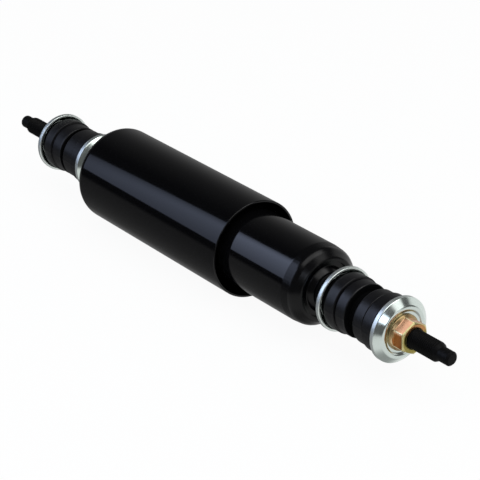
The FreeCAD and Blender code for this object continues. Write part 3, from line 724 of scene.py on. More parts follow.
@dataclass
class MountSet:
    """Retainers, bushings and nut of one end, sizes in mm from the bracket's plane."""

    end: End
    nut_turn: float                # degrees that the nut is turned by
    stud_r: float = 4.7625
    rim: float = 17.7
    rim_r: float = 16.1
    rim_round: float = 0.4
    sheet: float = 1.3
    lip: float = 2.4
    foot_round: float = 1.9        # at the foot of the lip, on cups that open towards the lower stud
    foot_crisp: float = 0.7        # the same on cups that open the other way, as the photograph shows them
    crest: float = 5.4
    shoulder_r: float = 12.7
    shoulder_round: float = 1.9
    crest_r: float = 11.2
    floor_r: float = 10.1
    dish_round: float = 1.4
    recess: float = 1.0
    retainer_gap: float = 0.2      # round the stud
    lower_neck: float = 2.7
    upper_neck: float = 1.1        # the upper pair of bushings is pressed closer together
    neck_r: float = 10.0
    neck_fillet: float = 0.4
    small_r: float = 13.6
    small_round: float = 1.0
    large_r: float = 14.4
    large_round: float = 1.2
    step: float = 9.6
    groove_r: float = 12.4
    groove_half: float = 0.5
    groove_edge: float = 0.35
    groove_bottom: float = 0.15
    shoulder: float = 16.4
    taper: float = 1.2             # length of the slope from the larger tier to the root
    root_r: float = 12.3
    root_fillet: float = 0.6
    root_round: float = 0.8
    bushing_gap: float = 0.15      # round the stud
    dull_margin: float = 0.3       # painted shade: darker rubber beyond the neck
    parting_rise: float = 0.16
    parting_half: float = 0.55
    parting_from_r: float = 9.5    # the bore has no parting line
    nut_flats: float = 14.29
    nut_height: float = 8.3
    nut_face_r: float = 6.8
    nut_bite: float = 0.3          # how far the bore reaches into the stud's thread
    bore_chamfer: float = 0.8
    face_slope: float = 30.0       # degrees of the chamfer round the face
    flange_r: float = 8.9
    flange: float = 1.1
    flange_cone: float = 2.1
    flange_edge: float = 0.25
    corner_round: float = 0.5
    edge_row: float = 0.3          # row of points beside a rounded edge of the nut

    @property
    def seat(self) -> float:
        """Bracket plane to the floor of a retainer."""
        return self.rim + self.crest - self.recess

    @property
    def neck(self) -> float:
        """Length of a bushing's neck."""
        return self.lower_neck if self.end is End.LOWER else self.upper_neck

    def name(self, side: Side, what: str) -> str:
        """Node name of a retainer or bushing."""
        return f"{self.end.value}_{side.label}_{what}"

    def retainer(self, side: Side) -> None:
        """Pressed cup washer: a rolled dome with a dished centre and a sheared rim.

        Args:
            side: inner or outer retainer.
        """
        outward = self.end.outward * side.value
        draft = Draft(Placement(self.end.bracket_x + outward * self.rim, outward))
        low = self.crest - self.recess
        draft.lathe(pressed([
            (0, self.rim_r, self.rim_round),
            (self.lip, self.rim_r, self.foot_round if outward > 0 else self.foot_crisp),
            (self.crest, self.shoulder_r, self.shoulder_round),
            (self.crest, self.crest_r, self.dish_round),
            (low, self.floor_r, self.dish_round),
            (low, self.stud_r + self.retainer_gap),
        ], self.sheet))
        name = self.name(side, "retainer")
        draft.piece(name + "_cup", ZINC, self.end.body, [name], (RIM_ZINC, self.lip))

    def flash(self, x: float, r: float, angle: float) -> float:
        """Raise the rubber at the mould's parting line, which runs along both sides.

        Args:
            x: plane along the bushing, mm; the line is as high all along it.
            r: radius without the line, mm.
            angle: direction round the axis.

        Returns:
            Radius with the line, mm.
        """
        if r < self.parting_from_r:
            return r
        off_line = abs((angle + math.pi / 2) % math.pi - math.pi / 2)
        return r + self.parting_rise * max(0.0, 1 - off_line * r / self.parting_half)

    def bushing(self, side: Side) -> None:
        """Moulded rubber bushing in two tiers, with its neck in the bracket's hole.

        Args:
            side: inner or outer bushing.
        """
        draft = Draft(Placement(self.end.bracket_x, self.end.outward * side.value))
        bore_r = self.stud_r + self.bushing_gap
        root = self.seat - self.sheet
        draft.lathe([
            (0, bore_r),
            (0, self.neck_r),
            (self.neck, self.neck_r, self.neck_fillet),
            (self.neck, self.small_r, self.small_round),
            (self.step - self.groove_half, self.small_r, self.groove_edge),
            (self.step, self.groove_r, self.groove_bottom),
            (self.step + self.groove_half, self.large_r, self.groove_edge),
            (self.shoulder, self.large_r, self.large_round),
            (self.shoulder + self.taper, self.root_r, self.root_fillet),
            (root, self.root_r, self.root_round),
            (root, bore_r),
        ], self.flash)
        name = self.name(side, "bushing")
        # The neck and the rubber just beyond it get painted shade for the gap between the bushings.
        draft.piece(name + "_rubber", RUBBER, self.end.body, [name],
                    (GAP_SHADE_RUBBER, self.neck + self.dull_margin))

    def hex_radius(self, angle: float) -> float:
        """Work out the radius of the rounded hexagon.

        Args:
            angle: direction from one of its corners.

        Returns:
            Radius in that direction, mm.
        """
        flat, rounding = self.nut_flats / 2, self.corner_round
        off_flat = abs(angle % (2 * HALF_SIDE) - HALF_SIDE)
        if math.tan(off_flat) <= (flat - rounding) * math.tan(HALF_SIDE) / flat:
            return flat / math.cos(off_flat)
        centre = (flat - rounding) / math.cos(HALF_SIDE)
        off_corner = HALF_SIDE - off_flat
        return centre * math.cos(off_corner) + math.sqrt(rounding ** 2 - (centre * math.sin(off_corner)) ** 2)

    def nut_angles(self) -> list[float]:
        """Choose the angles of the points round the nut: close together at the corners, few on the flats.

        Returns:
            Angles from one of the corners, in order.
        """
        flat, rounding = self.nut_flats / 2, self.corner_round
        edge = HALF_SIDE - math.atan((flat - rounding) * math.tan(HALF_SIDE) / flat)
        last = CORNER_STEPS[-1] * edge
        rest = 2 * HALF_SIDE - 2 * last
        angles = []
        for corner in range(6):
            at = corner * 2 * HALF_SIDE
            angles.extend(at + step * edge for step in CORNER_STEPS)
            angles.extend(at + last + rest * k / FLAT_STEPS for k in range(1, FLAT_STEPS))
        return angles

    def nut(self) -> None:
        """Cold-forged flange nut with rounded edges and the curved lines of chamfering on its flats."""
        draft = Draft(Placement(self.end.bracket_x + self.end.outward * self.seat, self.end.outward))
        turn = math.radians(self.nut_turn if self.end is End.UPPER else 180 - self.nut_turn)
        bore_r = self.stud_r - self.nut_bite
        flange_r, flange, face_r, top = self.flange_r, self.flange, self.nut_face_r, self.nut_height
        chamfer, edge, row = self.bore_chamfer, self.flange_edge, self.edge_row
        slope = math.tan(math.radians(self.face_slope))
        fall = (self.flange_cone - flange) / (flange_r - self.nut_flats / 2)
        angles = self.nut_angles()
        hexagon = self.hex_radius

        def ring(radius: Callable[[float], float], x: Callable[[float], float]) -> list[Point3]:
            """Place one ring of points.

            Args:
                radius: gives the radius at an angle, mm.
                x: gives the height at an angle, mm.

            Returns:
                Points in order round the nut.
            """
            points = []
            for angle in angles:
                r, at = radius(angle), angle + turn
                points.append((x(angle), r * math.cos(at), r * math.sin(at)))
            return points

        def level(r: float, height: float) -> list[Point3]:
            """One round ring."""
            return ring(lambda a: r, lambda a: height)

        def drop(angle: float) -> float:
            """How far below the face the hexagon meets the chamfer."""
            return max(0.0, hexagon(angle) - face_r) * slope

        def cone(r: float) -> float:
            """Height of the flange's cone at a radius."""
            return flange + (flange_r - r) * fall

        # Offsets of a tenth of a millimetre and less are the rows that round an edge.
        draft.rings([
            level(bore_r, chamfer),
            level(bore_r + chamfer, 0.0),
            level(flange_r - edge, 0.0),
            level(flange_r, edge),
            level(flange_r, flange - row),
            level(flange_r - 0.1, flange - 0.08),
            level(flange_r - row, cone(flange_r - row)),
            ring(lambda a: hexagon(a) + edge, lambda a: cone(hexagon(a) + edge)),
            ring(lambda a: hexagon(a) + 0.05, lambda a: cone(hexagon(a)) + 0.06),
            ring(hexagon, lambda a: cone(hexagon(a)) + row),
            ring(hexagon, lambda a: top - drop(a) - row),
            ring(lambda a: hexagon(a) - 0.01, lambda a: top - drop(a) - 0.1),
            ring(lambda a: hexagon(a) - 0.1, lambda a: top - max(0.02, drop(a) - 0.02)),
            ring(lambda a: min(hexagon(a) - row, face_r + 0.1), lambda a: top - 0.03),
            level(face_r - edge, top),
            level(bore_r + chamfer + 0.2, top),
            level(bore_r + chamfer, top - 0.1),
            level(bore_r, top - chamfer),
        ], True)
        name = f"{self.end.value}_nut"
        draft.piece(name + "_forged", YELLOW_ZINC, self.end.body, [name])

    def build(self) -> None:
        """Make the five pieces of this end."""
        for side in Side:
            self.retainer(side)
            self.bushing(side)
        self.nut()


@dataclass
class StudEnd:
    """Threaded end with a dog point, sizes in mm from its seat."""

    end: End
    reach: float                   # bracket plane to the tip
    major_r: float = 4.7625
    root_r: float = 4.16
    shank_r: float = 4.42
    pitch: float = 25.4 / 24
    seat: float = 22.1
    hidden: float = 8.0            # thread inside the outer bushing
    sink: float = 0.25             # how far the first turn starts under the shank
    climb: float = 0.25            # slope at which it comes out of the shank
    dog_r: float = 3.5
    dog: float = 6.7
    taper: float = 2.2
    chamfer: float = 0.9
    chamfer_round: float = 0.3
    tip_round: float = 0.25
    overlap: float = 1.0           # dog point inside the thread

    @property
    def place(self) -> Placement:
        """Seat of the inner retainer, looking outwards."""
        return Placement(self.end.bracket_x - self.end.outward * self.seat, self.end.outward)

    def draw(self, draft: Draft, body: Sequence[Sequence[float]]) -> None:
        """Add the stud to a draft: body and shank, thread, and dog point.

        Args:
            draft: draft placed at the seat.
            body: outline from the axis up to the shank, mm.
        """
        tip = self.seat + self.reach
        full = tip - self.dog
        begin = 2 * self.seat - self.hidden
        draft.lathe([*body, (0, self.shank_r), (begin, self.shank_r), (begin, 0)], segments=SLIM_SEGMENTS)
        draft.thread(Thread(begin, full, self.major_r, self.root_r, self.pitch, self.shank_r - self.sink,
                            self.dog_r, self.climb, (self.major_r - self.dog_r) / self.taper))
        draft.lathe([
            (full - self.overlap, 0),
            (full - self.overlap, self.dog_r),
            (tip - self.chamfer, self.dog_r, self.chamfer_round),
            (tip, self.dog_r - self.chamfer, self.tip_round),
            (tip, 0),
        ], segments=SLIM_SEGMENTS)


@dataclass
class Reservoir:
    """Outer tube swaged over its base cap, and the lower stud, sizes in mm."""

    tube_r: float = 20.35
    wall: float = 1.5
    end_x: float = 30.6
    mouth_r: float = 14.0
    mouth_round: float = 0.5
    swage_x: float = 40.5
    swage_round: float = 8.0
    foot_x: float = 34.3
    foot_r: float = 19.8
    foot_round: float = 5.0
    face_r: float = 15.9
    face_round: float = 2.5
    top_x: float = 199.0
    lip_r: float = 16.2
    lip_round: float = 1.8
    lip_edge: float = 0.3
    marked_x: Point = (35.6, 40.4)
    marks: int = 72
    mark_depth: float = 0.03
    cap_sheet: float = 2.2
    cap_skirt_x: float = 44.0
    cap_corner: float = 1.6
    cap_step_r: float = 11.6
    cap_dish_r: float = 9.6
    cap_dish_x: float = 29.2
    cap_dish_round: float = 0.8
    cap_clear: float = 0.025       # between the cap and the tube
    cap_gap: float = 0.05          # round the stud's pilot, and inside the tube's corner
    pilot_r: float = 6.0
    collar_r: float = 8.6
    collar_round: float = 0.5
    flare: float = 0.4
    flare_length: float = 1.2
    flare_round: float = 0.6
    stud: StudEnd = field(default_factory=lambda: StudEnd(End.LOWER, reach=54.5))

    @property
    def cap_face_x(self) -> float:
        """Plane on which the swaged end bears on the cap."""
        return self.end_x + self.wall

    @property
    def outside(self) -> list[tuple[float, ...]]:
        """Outer corners of the tube, from the mouth of its swaged end up to the seal washer."""
        return [
            (self.end_x, self.mouth_r, self.mouth_round),
            (self.end_x, self.face_r, self.face_round),
            (self.foot_x, self.foot_r, self.foot_round),
            (self.swage_x, self.tube_r, self.swage_round),
            (self.top_x - self.wall, self.tube_r),
        ]

    def rolled_marks(self, x: float, r: float, angle: float) -> float:
        """Sink the shallow flats that the swaging rolls leave on the outside of the tube.

        Args:
            x: plane along the tube, mm.
            r: radius without the flats, mm.
            angle: direction round the axis.

        Returns:
            Radius with the flats, mm.
        """
        low, high = self.marked_x
        off = abs(2 * x - low - high) / (high - low)
        if off >= 1 or r < self.tube_r - 1:
            return r
        return r - self.mark_depth * (1 - off ** 4) * (0.5 + 0.5 * math.cos(self.marks * angle))

    def tube(self) -> None:
        """Tube with its end swaged over the cap and a lip rolled over the seal washer."""
        lip = [
            (self.top_x, self.tube_r, self.lip_round),
            (self.top_x, self.lip_r, self.lip_edge),
            (self.top_x - self.wall, self.lip_r, self.lip_edge),
        ]
        draft = Draft()
        draft.lathe(self.outside[:-1] + lip + parallel(self.outside, self.wall)[::-1],
                    self.rolled_marks, segments=4 * self.marks)
        # The swaged end gets the darker enamel: painted shade.
        draft.piece("reservoir_tube_painted", BRIGHTER_ENAMEL, "reservoir", ["reservoir_tube"],
                    (SHADED_END_ENAMEL, self.swage_x))

    def cap(self) -> None:
        """Pressed base cap with a centre that stands out to the stud's collar."""
        face, foot, bend, top = parallel(self.outside, self.wall + self.cap_clear)[1:]
        draft = Draft()
        draft.lathe(pressed([
            (self.cap_dish_x, self.pilot_r + self.cap_gap),
            (self.cap_dish_x, self.cap_dish_r, self.cap_dish_round),
            (self.cap_face_x, self.cap_step_r, self.cap_dish_round),
            (self.cap_face_x, face[1] - self.cap_gap, self.cap_corner),
            foot,
            bend,
            (self.cap_skirt_x, top[1]),
        ], self.cap_sheet))
        # The cap gets the same darker enamel: painted shade.
        draft.piece("base_cap_painted", SHADED_END_ENAMEL, "reservoir", ["base_cap"])

    def lower_stud(self) -> None:
        """Lower stud with its forged collar."""
        draft = Draft(self.stud.place)
        collar = self.cap_dish_x - self.stud.seat
        pilot = collar + self.cap_sheet
        self.stud.draw(draft, [
            (-pilot, 0),
            (-pilot, self.pilot_r),
            (-collar, self.pilot_r),
            (-collar, self.collar_r + self.flare),
            (-collar + self.flare_length, self.collar_r, self.flare_round),
            (0, self.collar_r, self.collar_round),
        ])
        draft.piece("lower_stud_threaded", PHOSPHATE, "reservoir", ["lower_stud"])

    def build(self) -> None:
        """Make the tube, its cap and the stud."""
        self.tube()
        self.cap()
        self.lower_stud()


@dataclass
class RodAndShield:
    """Chromed rod with its threaded end, and the dust shield that it carries, sizes in mm."""

    rod_r: float = 6.25
    rod_start: float = 59.6
    rod_segments: int = 96
    journal_r: float = 5.0
    shoulder_x: float = 87.1
    chamfer: float = 0.9
    rod_gap: float = 0.05          # between the rod and what sits on it
    shield_r: float = 25.4
    sheet: float = 1.2
    mouth_x: float = 86.2
    mouth_round: float = 0.4
    dome_x: float = 208.0
    top_x: float = 213.0
    corner: float = 6.0
    crown_r: float = 10.5
    crown_round: float = 3.0
    collar_r: float = 8.6
    collar_round: float = 0.5
    bead_r: float = 1.1
    bead_root: float = 0.4         # how far the weld bead reaches into the collar
    bead_sink: float = 0.1         # how far its centre lies inside the collar's surface
    bead_step: int = 15            # degrees between the points of its section
    bead_ripples: int = 46
    ripple_height: float = 0.1
    stud: StudEnd = field(default_factory=lambda: StudEnd(End.UPPER, reach=59.0))

    @property
    def seat_x(self) -> float:
        """Plane on which the upper inner retainer sits."""
        return self.stud.place.x

    def shield(self) -> None:
        """Drawn dust shield with a domed end and a plain cut mouth."""
        draft = Draft()
        draft.lathe(pressed([
            (self.mouth_x, self.shield_r, self.mouth_round),
            (self.dome_x, self.shield_r, self.corner),
            (self.top_x, self.crown_r, self.crown_round),
            (self.top_x, self.rod_r + self.rod_gap),
        ], self.sheet))
        draft.piece("dust_shield_painted", ENAMEL, "rod", ["dust_shield"])

    def ripples(self, x: float, r: float, angle: float) -> float:
        """Radius of the weld bead with the ripples of its passes, at the same height all along x."""
        return r + self.ripple_height * math.sin(self.bead_ripples * angle) * (r > self.collar_r)

    def collar(self) -> None:
        """Collar under the upper inner retainer, with its weld bead on the dome."""
        draft = Draft()
        draft.lathe([
            (self.top_x, self.rod_r + self.rod_gap),
            (self.seat_x, self.rod_r + self.rod_gap),
            (self.seat_x, self.collar_r, self.collar_round),
            (self.top_x, self.collar_r),
        ])
        bead = [(self.top_x, self.collar_r - self.bead_root)]
        for degrees in range(90, -1, -self.bead_step):
            angle = math.radians(degrees)
            bead.append((self.top_x + self.bead_r * math.sin(angle),
                         self.collar_r - self.bead_sink + self.bead_r * math.cos(angle)))
        draft.lathe(bead, self.ripples)
        draft.piece("shield_collar_welded", ENAMEL, "rod", ["shield_collar"])

    def rod(self) -> None:
        """Chromed length of the rod, with the journal for the piston."""
        draft = Draft()
        draft.lathe([
            (self.rod_start, 0),
            (self.rod_start, self.journal_r - self.chamfer),
            (self.rod_start + self.chamfer, self.journal_r),
            (self.shoulder_x, self.journal_r),
            (self.shoulder_x, self.rod_r),
            (self.seat_x, self.rod_r),
            (self.seat_x, 0),
        ], segments=self.rod_segments)
        draft.piece("piston_rod_chromed", CHROME, "rod", ["piston_rod"])

    def upper_stud(self) -> None:
        """Threaded end of the rod."""
        draft = Draft(self.stud.place)
        self.stud.draw(draft, [(0, 0)])
        draft.piece("upper_stud_threaded", PHOSPHATE, "rod", ["piston_rod"])

    def build(self) -> None:
        """Make the rod, its stud, the shield and the collar."""
        self.rod()
        self.upper_stud()
        self.shield()
        self.collar()


@dataclass
class StarSpring:
    """Sheet spring on a check plate, sizes in mm: a hub ring and fingers that flex as the plate lifts.

    Attributes:
        node: CAD node that it stands for.
        joint: joint that lifts the plate; not used.
        body: CAD body that holds the hub.
        bore_r, hub_r, hub_x: radii and lower face of the hub ring.
        rim_r, rim_x: radius and lower face of the fingers' ends.
        fixed_x: plane that stays where it is as the fingers flex; not used.
        lift: way of the plate; not used.
        sheet, width, fingers: thickness, finger width and number of fingers.
        edge: broken edge; a finger's root lies three times as far inside the hub.
        tip: share of a finger over which its end is rounded.
        blunt: square of the share of a finger's width that is left at its very end.
        steps: steps along a finger.
    """

    node: str
    joint: str
    body: str
    bore_r: float
    hub_r: float
    hub_x: float
    rim_r: float
    rim_x: float
    fixed_x: float
    lift: float = 0.8
    sheet: float = 0.3
    width: float = 2.2
    fingers: int = 6
    edge: float = 0.07
    tip: float = 0.2
    blunt: float = 0.06
    steps: int = 24

    def finger(self, angle: float) -> list[list[Point3]]:
        """Draw one finger.

        Args:
            angle: its direction round the axis.

        Returns:
            Cross-sections from the hub to the rounded end.
        """
        root_r = self.hub_r - self.edge * 3
        cosine, sine = math.cos(angle), math.sin(angle)
        rings = []
        for i in range(self.steps + 1):
            share = i / self.steps
            r = root_r + share * (self.rim_r - root_r)
            x = self.hub_x + share * (self.rim_x - self.hub_x)
            beyond = max(0.0, share - 1 + self.tip) / self.tip
            half = self.width / 2 * math.sqrt(max(1 - beyond ** 2, self.blunt))
            corners = [
                (half, self.edge), (half, self.sheet - self.edge),
                (half - self.edge, self.sheet), (self.edge - half, self.sheet),
                (-half, self.sheet - self.edge), (-half, self.edge),
                (self.edge - half, 0.0), (half - self.edge, 0.0),
            ]
            rings.append([
                (x + up, r * cosine - side * sine, r * sine + side * cosine) for side, up in corners
            ])
        return rings

    def build(self) -> None:
        """Make the spring."""
        top = self.hub_x + self.sheet
        draft = Draft()
        draft.lathe([
            (self.hub_x, self.bore_r, self.edge),
            (self.hub_x, self.hub_r, self.edge),
            (top, self.hub_r, self.edge),
            (top, self.bore_r, self.edge),
        ], segments=SLIM_SEGMENTS)
        for i in range(self.fingers):
            draft.bar(self.finger(math.tau * i / self.fingers))
        thing = draft.piece(f"{self.node}_pressed", STRIP, self.body, [self.node])
        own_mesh(thing)


@dataclass
class InnerWorks:
    """Pieces sealed in the tubes: CAD shapes with real finishes, apart from the two springs that flex."""

    springs: tuple[StarSpring, ...] = (
        StarSpring("base_check_spring", "base_check_lift", "reservoir", bore_r=2.55, hub_r=4.5, hub_x=48.6,
                   rim_r=9.6, rim_x=46.9, fixed_x=48.6),
        StarSpring("piston_check_spring", "piston_check_lift", "rod", bore_r=5.95, hub_r=7.3, hub_x=85.2,
                   rim_r=10.6, rim_x=82.8, fixed_x=85.5),
    )

    finishes: dict[Finish, tuple[str, ...]] = field(default_factory=lambda: {
        DRAWN: ("pressure_tube", "seal_washer", "rebound_stop", "check_stop_washer", "rebound_backing_washer",
                "piston_nut", "base_valve_pin"),
        STRIP: ("rebound_discs", "piston_check_plate", "base_compression_discs", "base_check_plate"),
        SINTER: ("piston", "base_valve_body", "rod_guide"),
        BRONZE: ("rod_guide_bushing",),
        PTFE: ("piston_band",),
        NITRILE: ("rod_seal", "guide_o_ring"),
        RUBBER: ("rebound_bumper",),
    })

    def build(self) -> None:
        """Make the springs and dress every other sealed node."""
        for spring in self.springs:
            spring.build()
        for finish, nodes in self.finishes.items():
            for node in nodes:
                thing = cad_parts[node]
                thing.data.shade_smooth()
                thing.data.materials.clear()
                thing.data.materials.append(finish.material())
                LOG.info("%s: %s", node, finish.name)


class Axis(Enum):
    """Part of a ray's direction that the brightness of the surroundings follows."""

    ALONG = "from the lower stud to the upper one"
    ACROSS = "towards the side lamp"
    HEIGHT = "upwards"
    TABLE = "upwards, with the table's edge lowered on the side lamp's side"


@dataclass(frozen=True)
class Ramp:
    """Smooth step in the brightness of the surroundings.

    Attributes:
        axis: part of the ray's direction that it follows.
        start, end: values between which it changes.
        low, high: brightness, or factor of it, at the start and at the end.
    """

    axis: Axis
    start: float
    end: float
    low: float = 0.0
    high: float = 1.0


@dataclass(frozen=True)
class Softbox:
    """Rectangular lamp that the camera itself does not see.

    Attributes:
        name: name of the lamp.
        centre: its middle, m.
        facing: point that it faces, m.
        size: width and height, m.
        radiance: brightness of its face at table height and at the height of rise; 1 reflects as white.
        tone: colour of its face, sRGB hex.
        only: the one piece that it lights, if it isn't meant for all.
        fade: distances from its middle between which the face dims to one side, m, and the share left.
        rise: height at which the second brightness holds, m.
    """

    name: str
    centre: Point3
    facing: Point3
    size: Point
    radiance: Point
    tone: str
    only: Optional[str] = None
    fade: Optional[Point3] = None
    rise: float = 0.5

    def glow(self, tree: bpy.types.NodeTree) -> bpy.types.NodeSocket:
        """Brightness over the lamp's face.

        Args:
            tree: the lamp's node tree.

        Returns:
            Socket of the strength.
        """
        place = add_node(tree, "ShaderNodeNewGeometry").outputs["Position"]
        height = add_node(tree, "ShaderNodeSeparateXYZ", links={0: place}).outputs["Z"]
        low, high = self.radiance
        glow = add_node(tree, "ShaderNodeMapRange", {"clamp": False}, {
            "Value": height, "From Min": 0.0, "From Max": self.rise, "To Min": low, "To Max": high})
        if self.fade is None:
            return glow.outputs["Result"]
        begin, end, left = self.fade
        aside = Vector((0, 0, 1)).cross(Vector(self.facing) - Vector(self.centre)).normalized()
        middle = aside.dot(Vector(self.centre))
        off = add_node(tree, "ShaderNodeVectorMath", {"operation": "DOT_PRODUCT"}, {0: place, 1: aside})
        dim = add_node(tree, "ShaderNodeMapRange", {"interpolation_type": "SMOOTHSTEP"}, {
            "Value": off.outputs["Value"], "From Min": middle + begin, "From Max": middle + end,
            "To Min": 1.0, "To Max": left})
        return add_node(tree, "ShaderNodeMath", {"operation": "MULTIPLY"}, {
            0: glow.outputs["Result"], 1: dim.outputs["Result"]}).outputs[0]

    def build(self) -> None:
        """Make the lamp and, where it is meant for one piece, link it to that piece."""
        data = bpy.data.lights.new(self.name, "AREA")
        data.shape = "RECTANGLE"
        data.size, data.size_y = self.size
        data.energy = math.pi * self.size[0] * self.size[1]
        data.use_nodes = True
        face = data.node_tree.nodes["Emission"]
        face.inputs["Color"].default_value = linear(self.tone)
        data.node_tree.links.new(self.glow(data.node_tree), face.inputs["Strength"])
        thing = bpy.data.objects.new(self.name, data)
        thing.location = self.centre
        way = Vector(self.facing) - Vector(self.centre)
        thing.rotation_euler = way.to_track_quat("-Z", "Y").to_euler()
        thing.visible_camera = False
        bpy.context.scene.collection.objects.link(thing)
        if self.only is not None:
            lit = bpy.data.collections.new(self.name + "_lights")
            lit.objects.link(bpy.data.objects[self.only])
            thing.light_linking.receiver_collection = lit


@dataclass
class Studio:
    """Camera, floor, backdrop and lamps.

    Attributes:
        camera_mm, forward: place and direction of the camera.
        lens_mm, sensor_mm: its focal length and sensor width.
        floor_mm, floor_half_m, floor_middle_m: height, half width and middle along X of the floor.
        floor_tones, floor_patch_mm: its two whites, sRGB hex, and the size of their patches.
        floor_white: share of plain white in what the camera sees of it.
        fill: soft light from all round on surfaces that don't mirror.
        table_edge: how far the table's edge is lowered to one side in reflections.
        far: directions along X between which the far surroundings take over from the near ones.
        near_panels: table, front strip, backdrop and upper sweep on the camera's side, each of them
            a product of ramps.
        far_panels: wall and table beyond the upper stud.
        lamps: the tall side lamp gives the long strip on the tubes, the front and overhead ones the white
            of the cups, and the small one the light on the lower nut's upper flat.
    """

    camera_mm: Point3 = (-561.9, 503.3, 391.9)
    forward: Point3 = (0.7193, -0.5483, -0.4265)
    lens_mm: float = 138.98
    sensor_mm: float = 36.0
    floor_mm: float = -25.4
    floor_half_m: float = 0.7
    floor_middle_m: float = 0.12
    floor_tones: tuple[str, str] = ("#E9ECEA", "#F1F3F2")
    floor_patch_mm: float = 40.0
    floor_white: float = 0.94
    fill: float = 0.55
    table_edge: Ramp = Ramp(Axis.ACROSS, 0.3, 0.5, 0.0, 0.2)
    far: Ramp = Ramp(Axis.ALONG, 0.45, 0.62)
    near_panels: tuple[tuple[Ramp, ...], ...] = (
        (Ramp(Axis.TABLE, 0.0, -0.15, 0.1, 0.72), Ramp(Axis.HEIGHT, -0.75, -0.98, 1.0, 0.42)),
        (Ramp(Axis.ACROSS, -0.58, -0.48, 0.0, 0.85), Ramp(Axis.ACROSS, 0.12, 0.0),
         Ramp(Axis.HEIGHT, 0.28, 0.16), Ramp(Axis.HEIGHT, -0.3, -0.15)),
        (Ramp(Axis.ACROSS, -0.35, -0.6, 0.0, 0.8), Ramp(Axis.HEIGHT, 0.62, 0.4),
         Ramp(Axis.ALONG, -0.42, -0.32)),
        (Ramp(Axis.ACROSS, -0.02, -0.25, 0.0, 1.2), Ramp(Axis.HEIGHT, 0.26, 0.4),
         Ramp(Axis.ACROSS, -0.62, -0.5), Ramp(Axis.ALONG, -0.1, -0.3)),
    )
    far_panels: tuple[tuple[Ramp, ...], ...] = (
        (Ramp(Axis.ACROSS, 0.35, -0.25), Ramp(Axis.HEIGHT, 1.0, 0.1, 0.0, 0.22)),
        (Ramp(Axis.HEIGHT, -0.08, -0.2, 0.012, 0.15),),
    )
    lamps: tuple[Softbox, ...] = (
        Softbox("side_softbox", centre=(0.587, 0.692, 0.47), facing=(-0.08, 0.09, 0.47), size=(0.8, 0.82),
                radiance=(0.87, 2.35), tone="#CFDDFF", fade=(0.27, 0.43, 0.3)),
        Softbox("front_softbox", centre=(-1.1, 0.52, 0.5), facing=(-0.02, 0.0, 0.0), size=(0.44, 0.38),
                radiance=(2.2, 2.2), tone="#E6EEFF"),
        Softbox("overhead_softbox", centre=(-0.22, 0.0, 1.0), facing=(-0.22, 0.001, 0.0), size=(0.8, 1.15),
                radiance=(1.9, 1.9), tone="#FFFFFF"),
        Softbox("nut_softbox", centre=(0.299, 0.113, 0.371), facing=(-0.025, 0.004, 0.006), size=(0.24, 0.24),
                radiance=(1.2, 1.2), tone="#FFFFFF", only="lower_nut_forged"),
    )

    def camera(self) -> None:
        """Camera at the photograph's place, looking along its axis."""
        data = bpy.data.cameras.new("camera")
        data.lens = self.lens_mm
        data.sensor_width = self.sensor_mm
        data.clip_start = 0.01
        thing = bpy.data.objects.new("camera", data)
        ahead = Vector(self.forward).normalized()
        right = ahead.cross(Vector((0, 0, 1))).normalized()
        above = right.cross(ahead)
        turn = Matrix((right, above, -ahead)).transposed().to_4x4()
        thing.matrix_world = Matrix.Translation(Vector(self.camera_mm) * MM) @ turn
        bpy.context.scene.collection.objects.link(thing)
        bpy.context.scene.camera = thing

    def floor(self) -> None:
        """Pale floor that the camera sees as white, with the object's soft shadow."""
        half, z = self.floor_half_m, self.floor_mm * MM
        left, right = self.floor_middle_m - half, self.floor_middle_m + half
        mesh = bpy.data.meshes.new("floor")
        mesh.from_pydata([(left, -half, z), (right, -half, z), (right, half, z), (left, half, z)], [],
                         [(0, 1, 2, 3)])
        thing = bpy.data.objects.new("floor", mesh)
        bpy.context.scene.collection.objects.link(thing)
        thing.visible_glossy = False
        material = bpy.data.materials.new("matt_white_table")
        material.use_nodes = True
        tree = material.node_tree
        tree.nodes.clear()
        path = add_node(tree, "ShaderNodeLightPath")
        place = add_node(tree, "ShaderNodeTexCoord").outputs["Object"]
        patches = add_node(tree, "ShaderNodeTexNoise", links={
            "Vector": place, "Scale": per_mm(self.floor_patch_mm), "Detail": 3.0})
        tone_a, tone_b = self.floor_tones
        tone = add_node(tree, "ShaderNodeMix", {"data_type": "RGBA"}, {
            0: patches.outputs["Fac"], MIX_A: linear(tone_a), MIX_B: linear(tone_b)})
        matt = add_node(tree, "ShaderNodeBsdfDiffuse", links={"Color": tone.outputs[MIX_RESULT]})
        white = add_node(tree, "ShaderNodeEmission", links={"Strength": 1.0})
        share = add_node(tree, "ShaderNodeMath", {"operation": "MULTIPLY"}, {
            0: path.outputs["Is Camera Ray"], 1: self.floor_white})
        mix = add_node(tree, "ShaderNodeMixShader", links={
            0: share.outputs[0], 1: matt.outputs[0], 2: white.outputs[0]})
        add_node(tree, "ShaderNodeOutputMaterial", links={"Surface": mix.outputs[0]})
        mesh.materials.append(material)

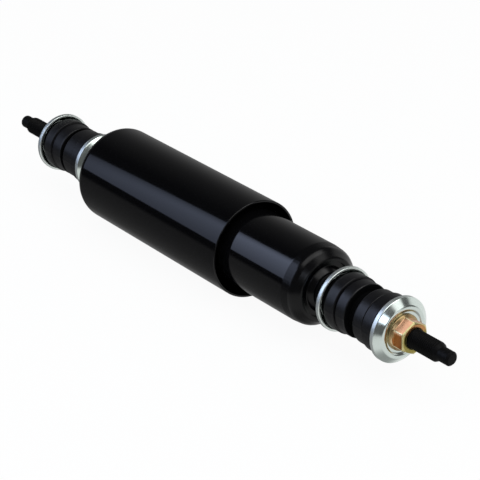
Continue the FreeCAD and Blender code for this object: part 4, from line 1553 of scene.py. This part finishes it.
    def mirrored(self, tree: bpy.types.NodeTree) -> bpy.types.NodeSocket:
        """Brightness of what gloss paint and metal mirror: in each direction the brightest panel shows.

        Args:
            tree: the world's node tree.

        Returns:
            Socket of the brightness.
        """
        way = add_node(tree, "ShaderNodeTexCoord").outputs["Generated"]
        values = dict(zip(Axis, add_node(tree, "ShaderNodeSeparateXYZ", links={0: way}).outputs))
        steps = {}
        for ramp in (self.table_edge, self.far, *sum(self.near_panels + self.far_panels, ())):
            steps[ramp] = add_node(tree, "ShaderNodeMapRange", {"interpolation_type": "SMOOTHSTEP"}, {
                "Value": values[ramp.axis], "From Min": ramp.start, "From Max": ramp.end,
                "To Min": ramp.low, "To Max": ramp.high}).outputs["Result"]
            if ramp is self.table_edge:
                values[Axis.TABLE] = add_node(tree, "ShaderNodeMath", {"operation": "ADD"}, {
                    0: values[Axis.HEIGHT], 1: steps[ramp]}).outputs[0]
        parts = []
        for panels in (self.near_panels, self.far_panels):
            brightest: Any = 0.0
            for ramps in panels:
                light: Any = 1.0
                for ramp in ramps:
                    light = add_node(tree, "ShaderNodeMath", {"operation": "MULTIPLY"}, {
                        0: light, 1: steps[ramp]}).outputs[0]
                brightest = add_node(tree, "ShaderNodeMath", {"operation": "MAXIMUM"}, {
                    0: brightest, 1: light}).outputs[0]
            parts.append(brightest)
        return add_node(tree, "ShaderNodeMix", {"data_type": "FLOAT"}, {
            0: steps[self.far], MIX_LOW: parts[0], MIX_HIGH: parts[1]}).outputs[0]

    def backdrop(self) -> None:
        """White backdrop for the eye, the panels in reflections and an even fill for the rest."""
        world = bpy.data.worlds.new("studio")
        bpy.context.scene.world = world
        world.use_nodes = True
        tree = world.node_tree
        tree.nodes.clear()
        path = add_node(tree, "ShaderNodeLightPath").outputs
        glossy = add_node(tree, "ShaderNodeMath", {"operation": "MAXIMUM"}, {
            0: path["Is Glossy Ray"], 1: path["Is Transmission Ray"]})
        soft = add_node(tree, "ShaderNodeMix", {"data_type": "FLOAT"}, {
            0: glossy.outputs[0], MIX_LOW: self.fill, MIX_HIGH: self.mirrored(tree)})
        seen = add_node(tree, "ShaderNodeMath", {"operation": "MAXIMUM"}, {
            0: soft.outputs[0], 1: path["Is Camera Ray"]})
        ground = add_node(tree, "ShaderNodeBackground", links={
            "Color": (1.0, 1.0, 1.0, 1.0), "Strength": seen.outputs[0]})
        add_node(tree, "ShaderNodeOutputWorld", links={"Surface": ground.outputs[0]})

    def build(self) -> None:
        """Set up the whole studio."""
        bpy.context.scene.view_settings.view_transform = "Standard"
        self.camera()
        self.floor()
        self.backdrop()
        for lamp in self.lamps:
            lamp.build()


def main() -> None:
    """Build every piece, then the studio."""
    logging.basicConfig(level=logging.INFO, format="%(name)s: %(message)s")
    Reservoir().build()
    RodAndShield().build()
    MountSet(End.LOWER, nut_turn=28.0).build()
    MountSet(End.UPPER, nut_turn=11.0).build()
    InnerWorks().build()
    Studio().build()


if __name__ == "__main__":
    main()
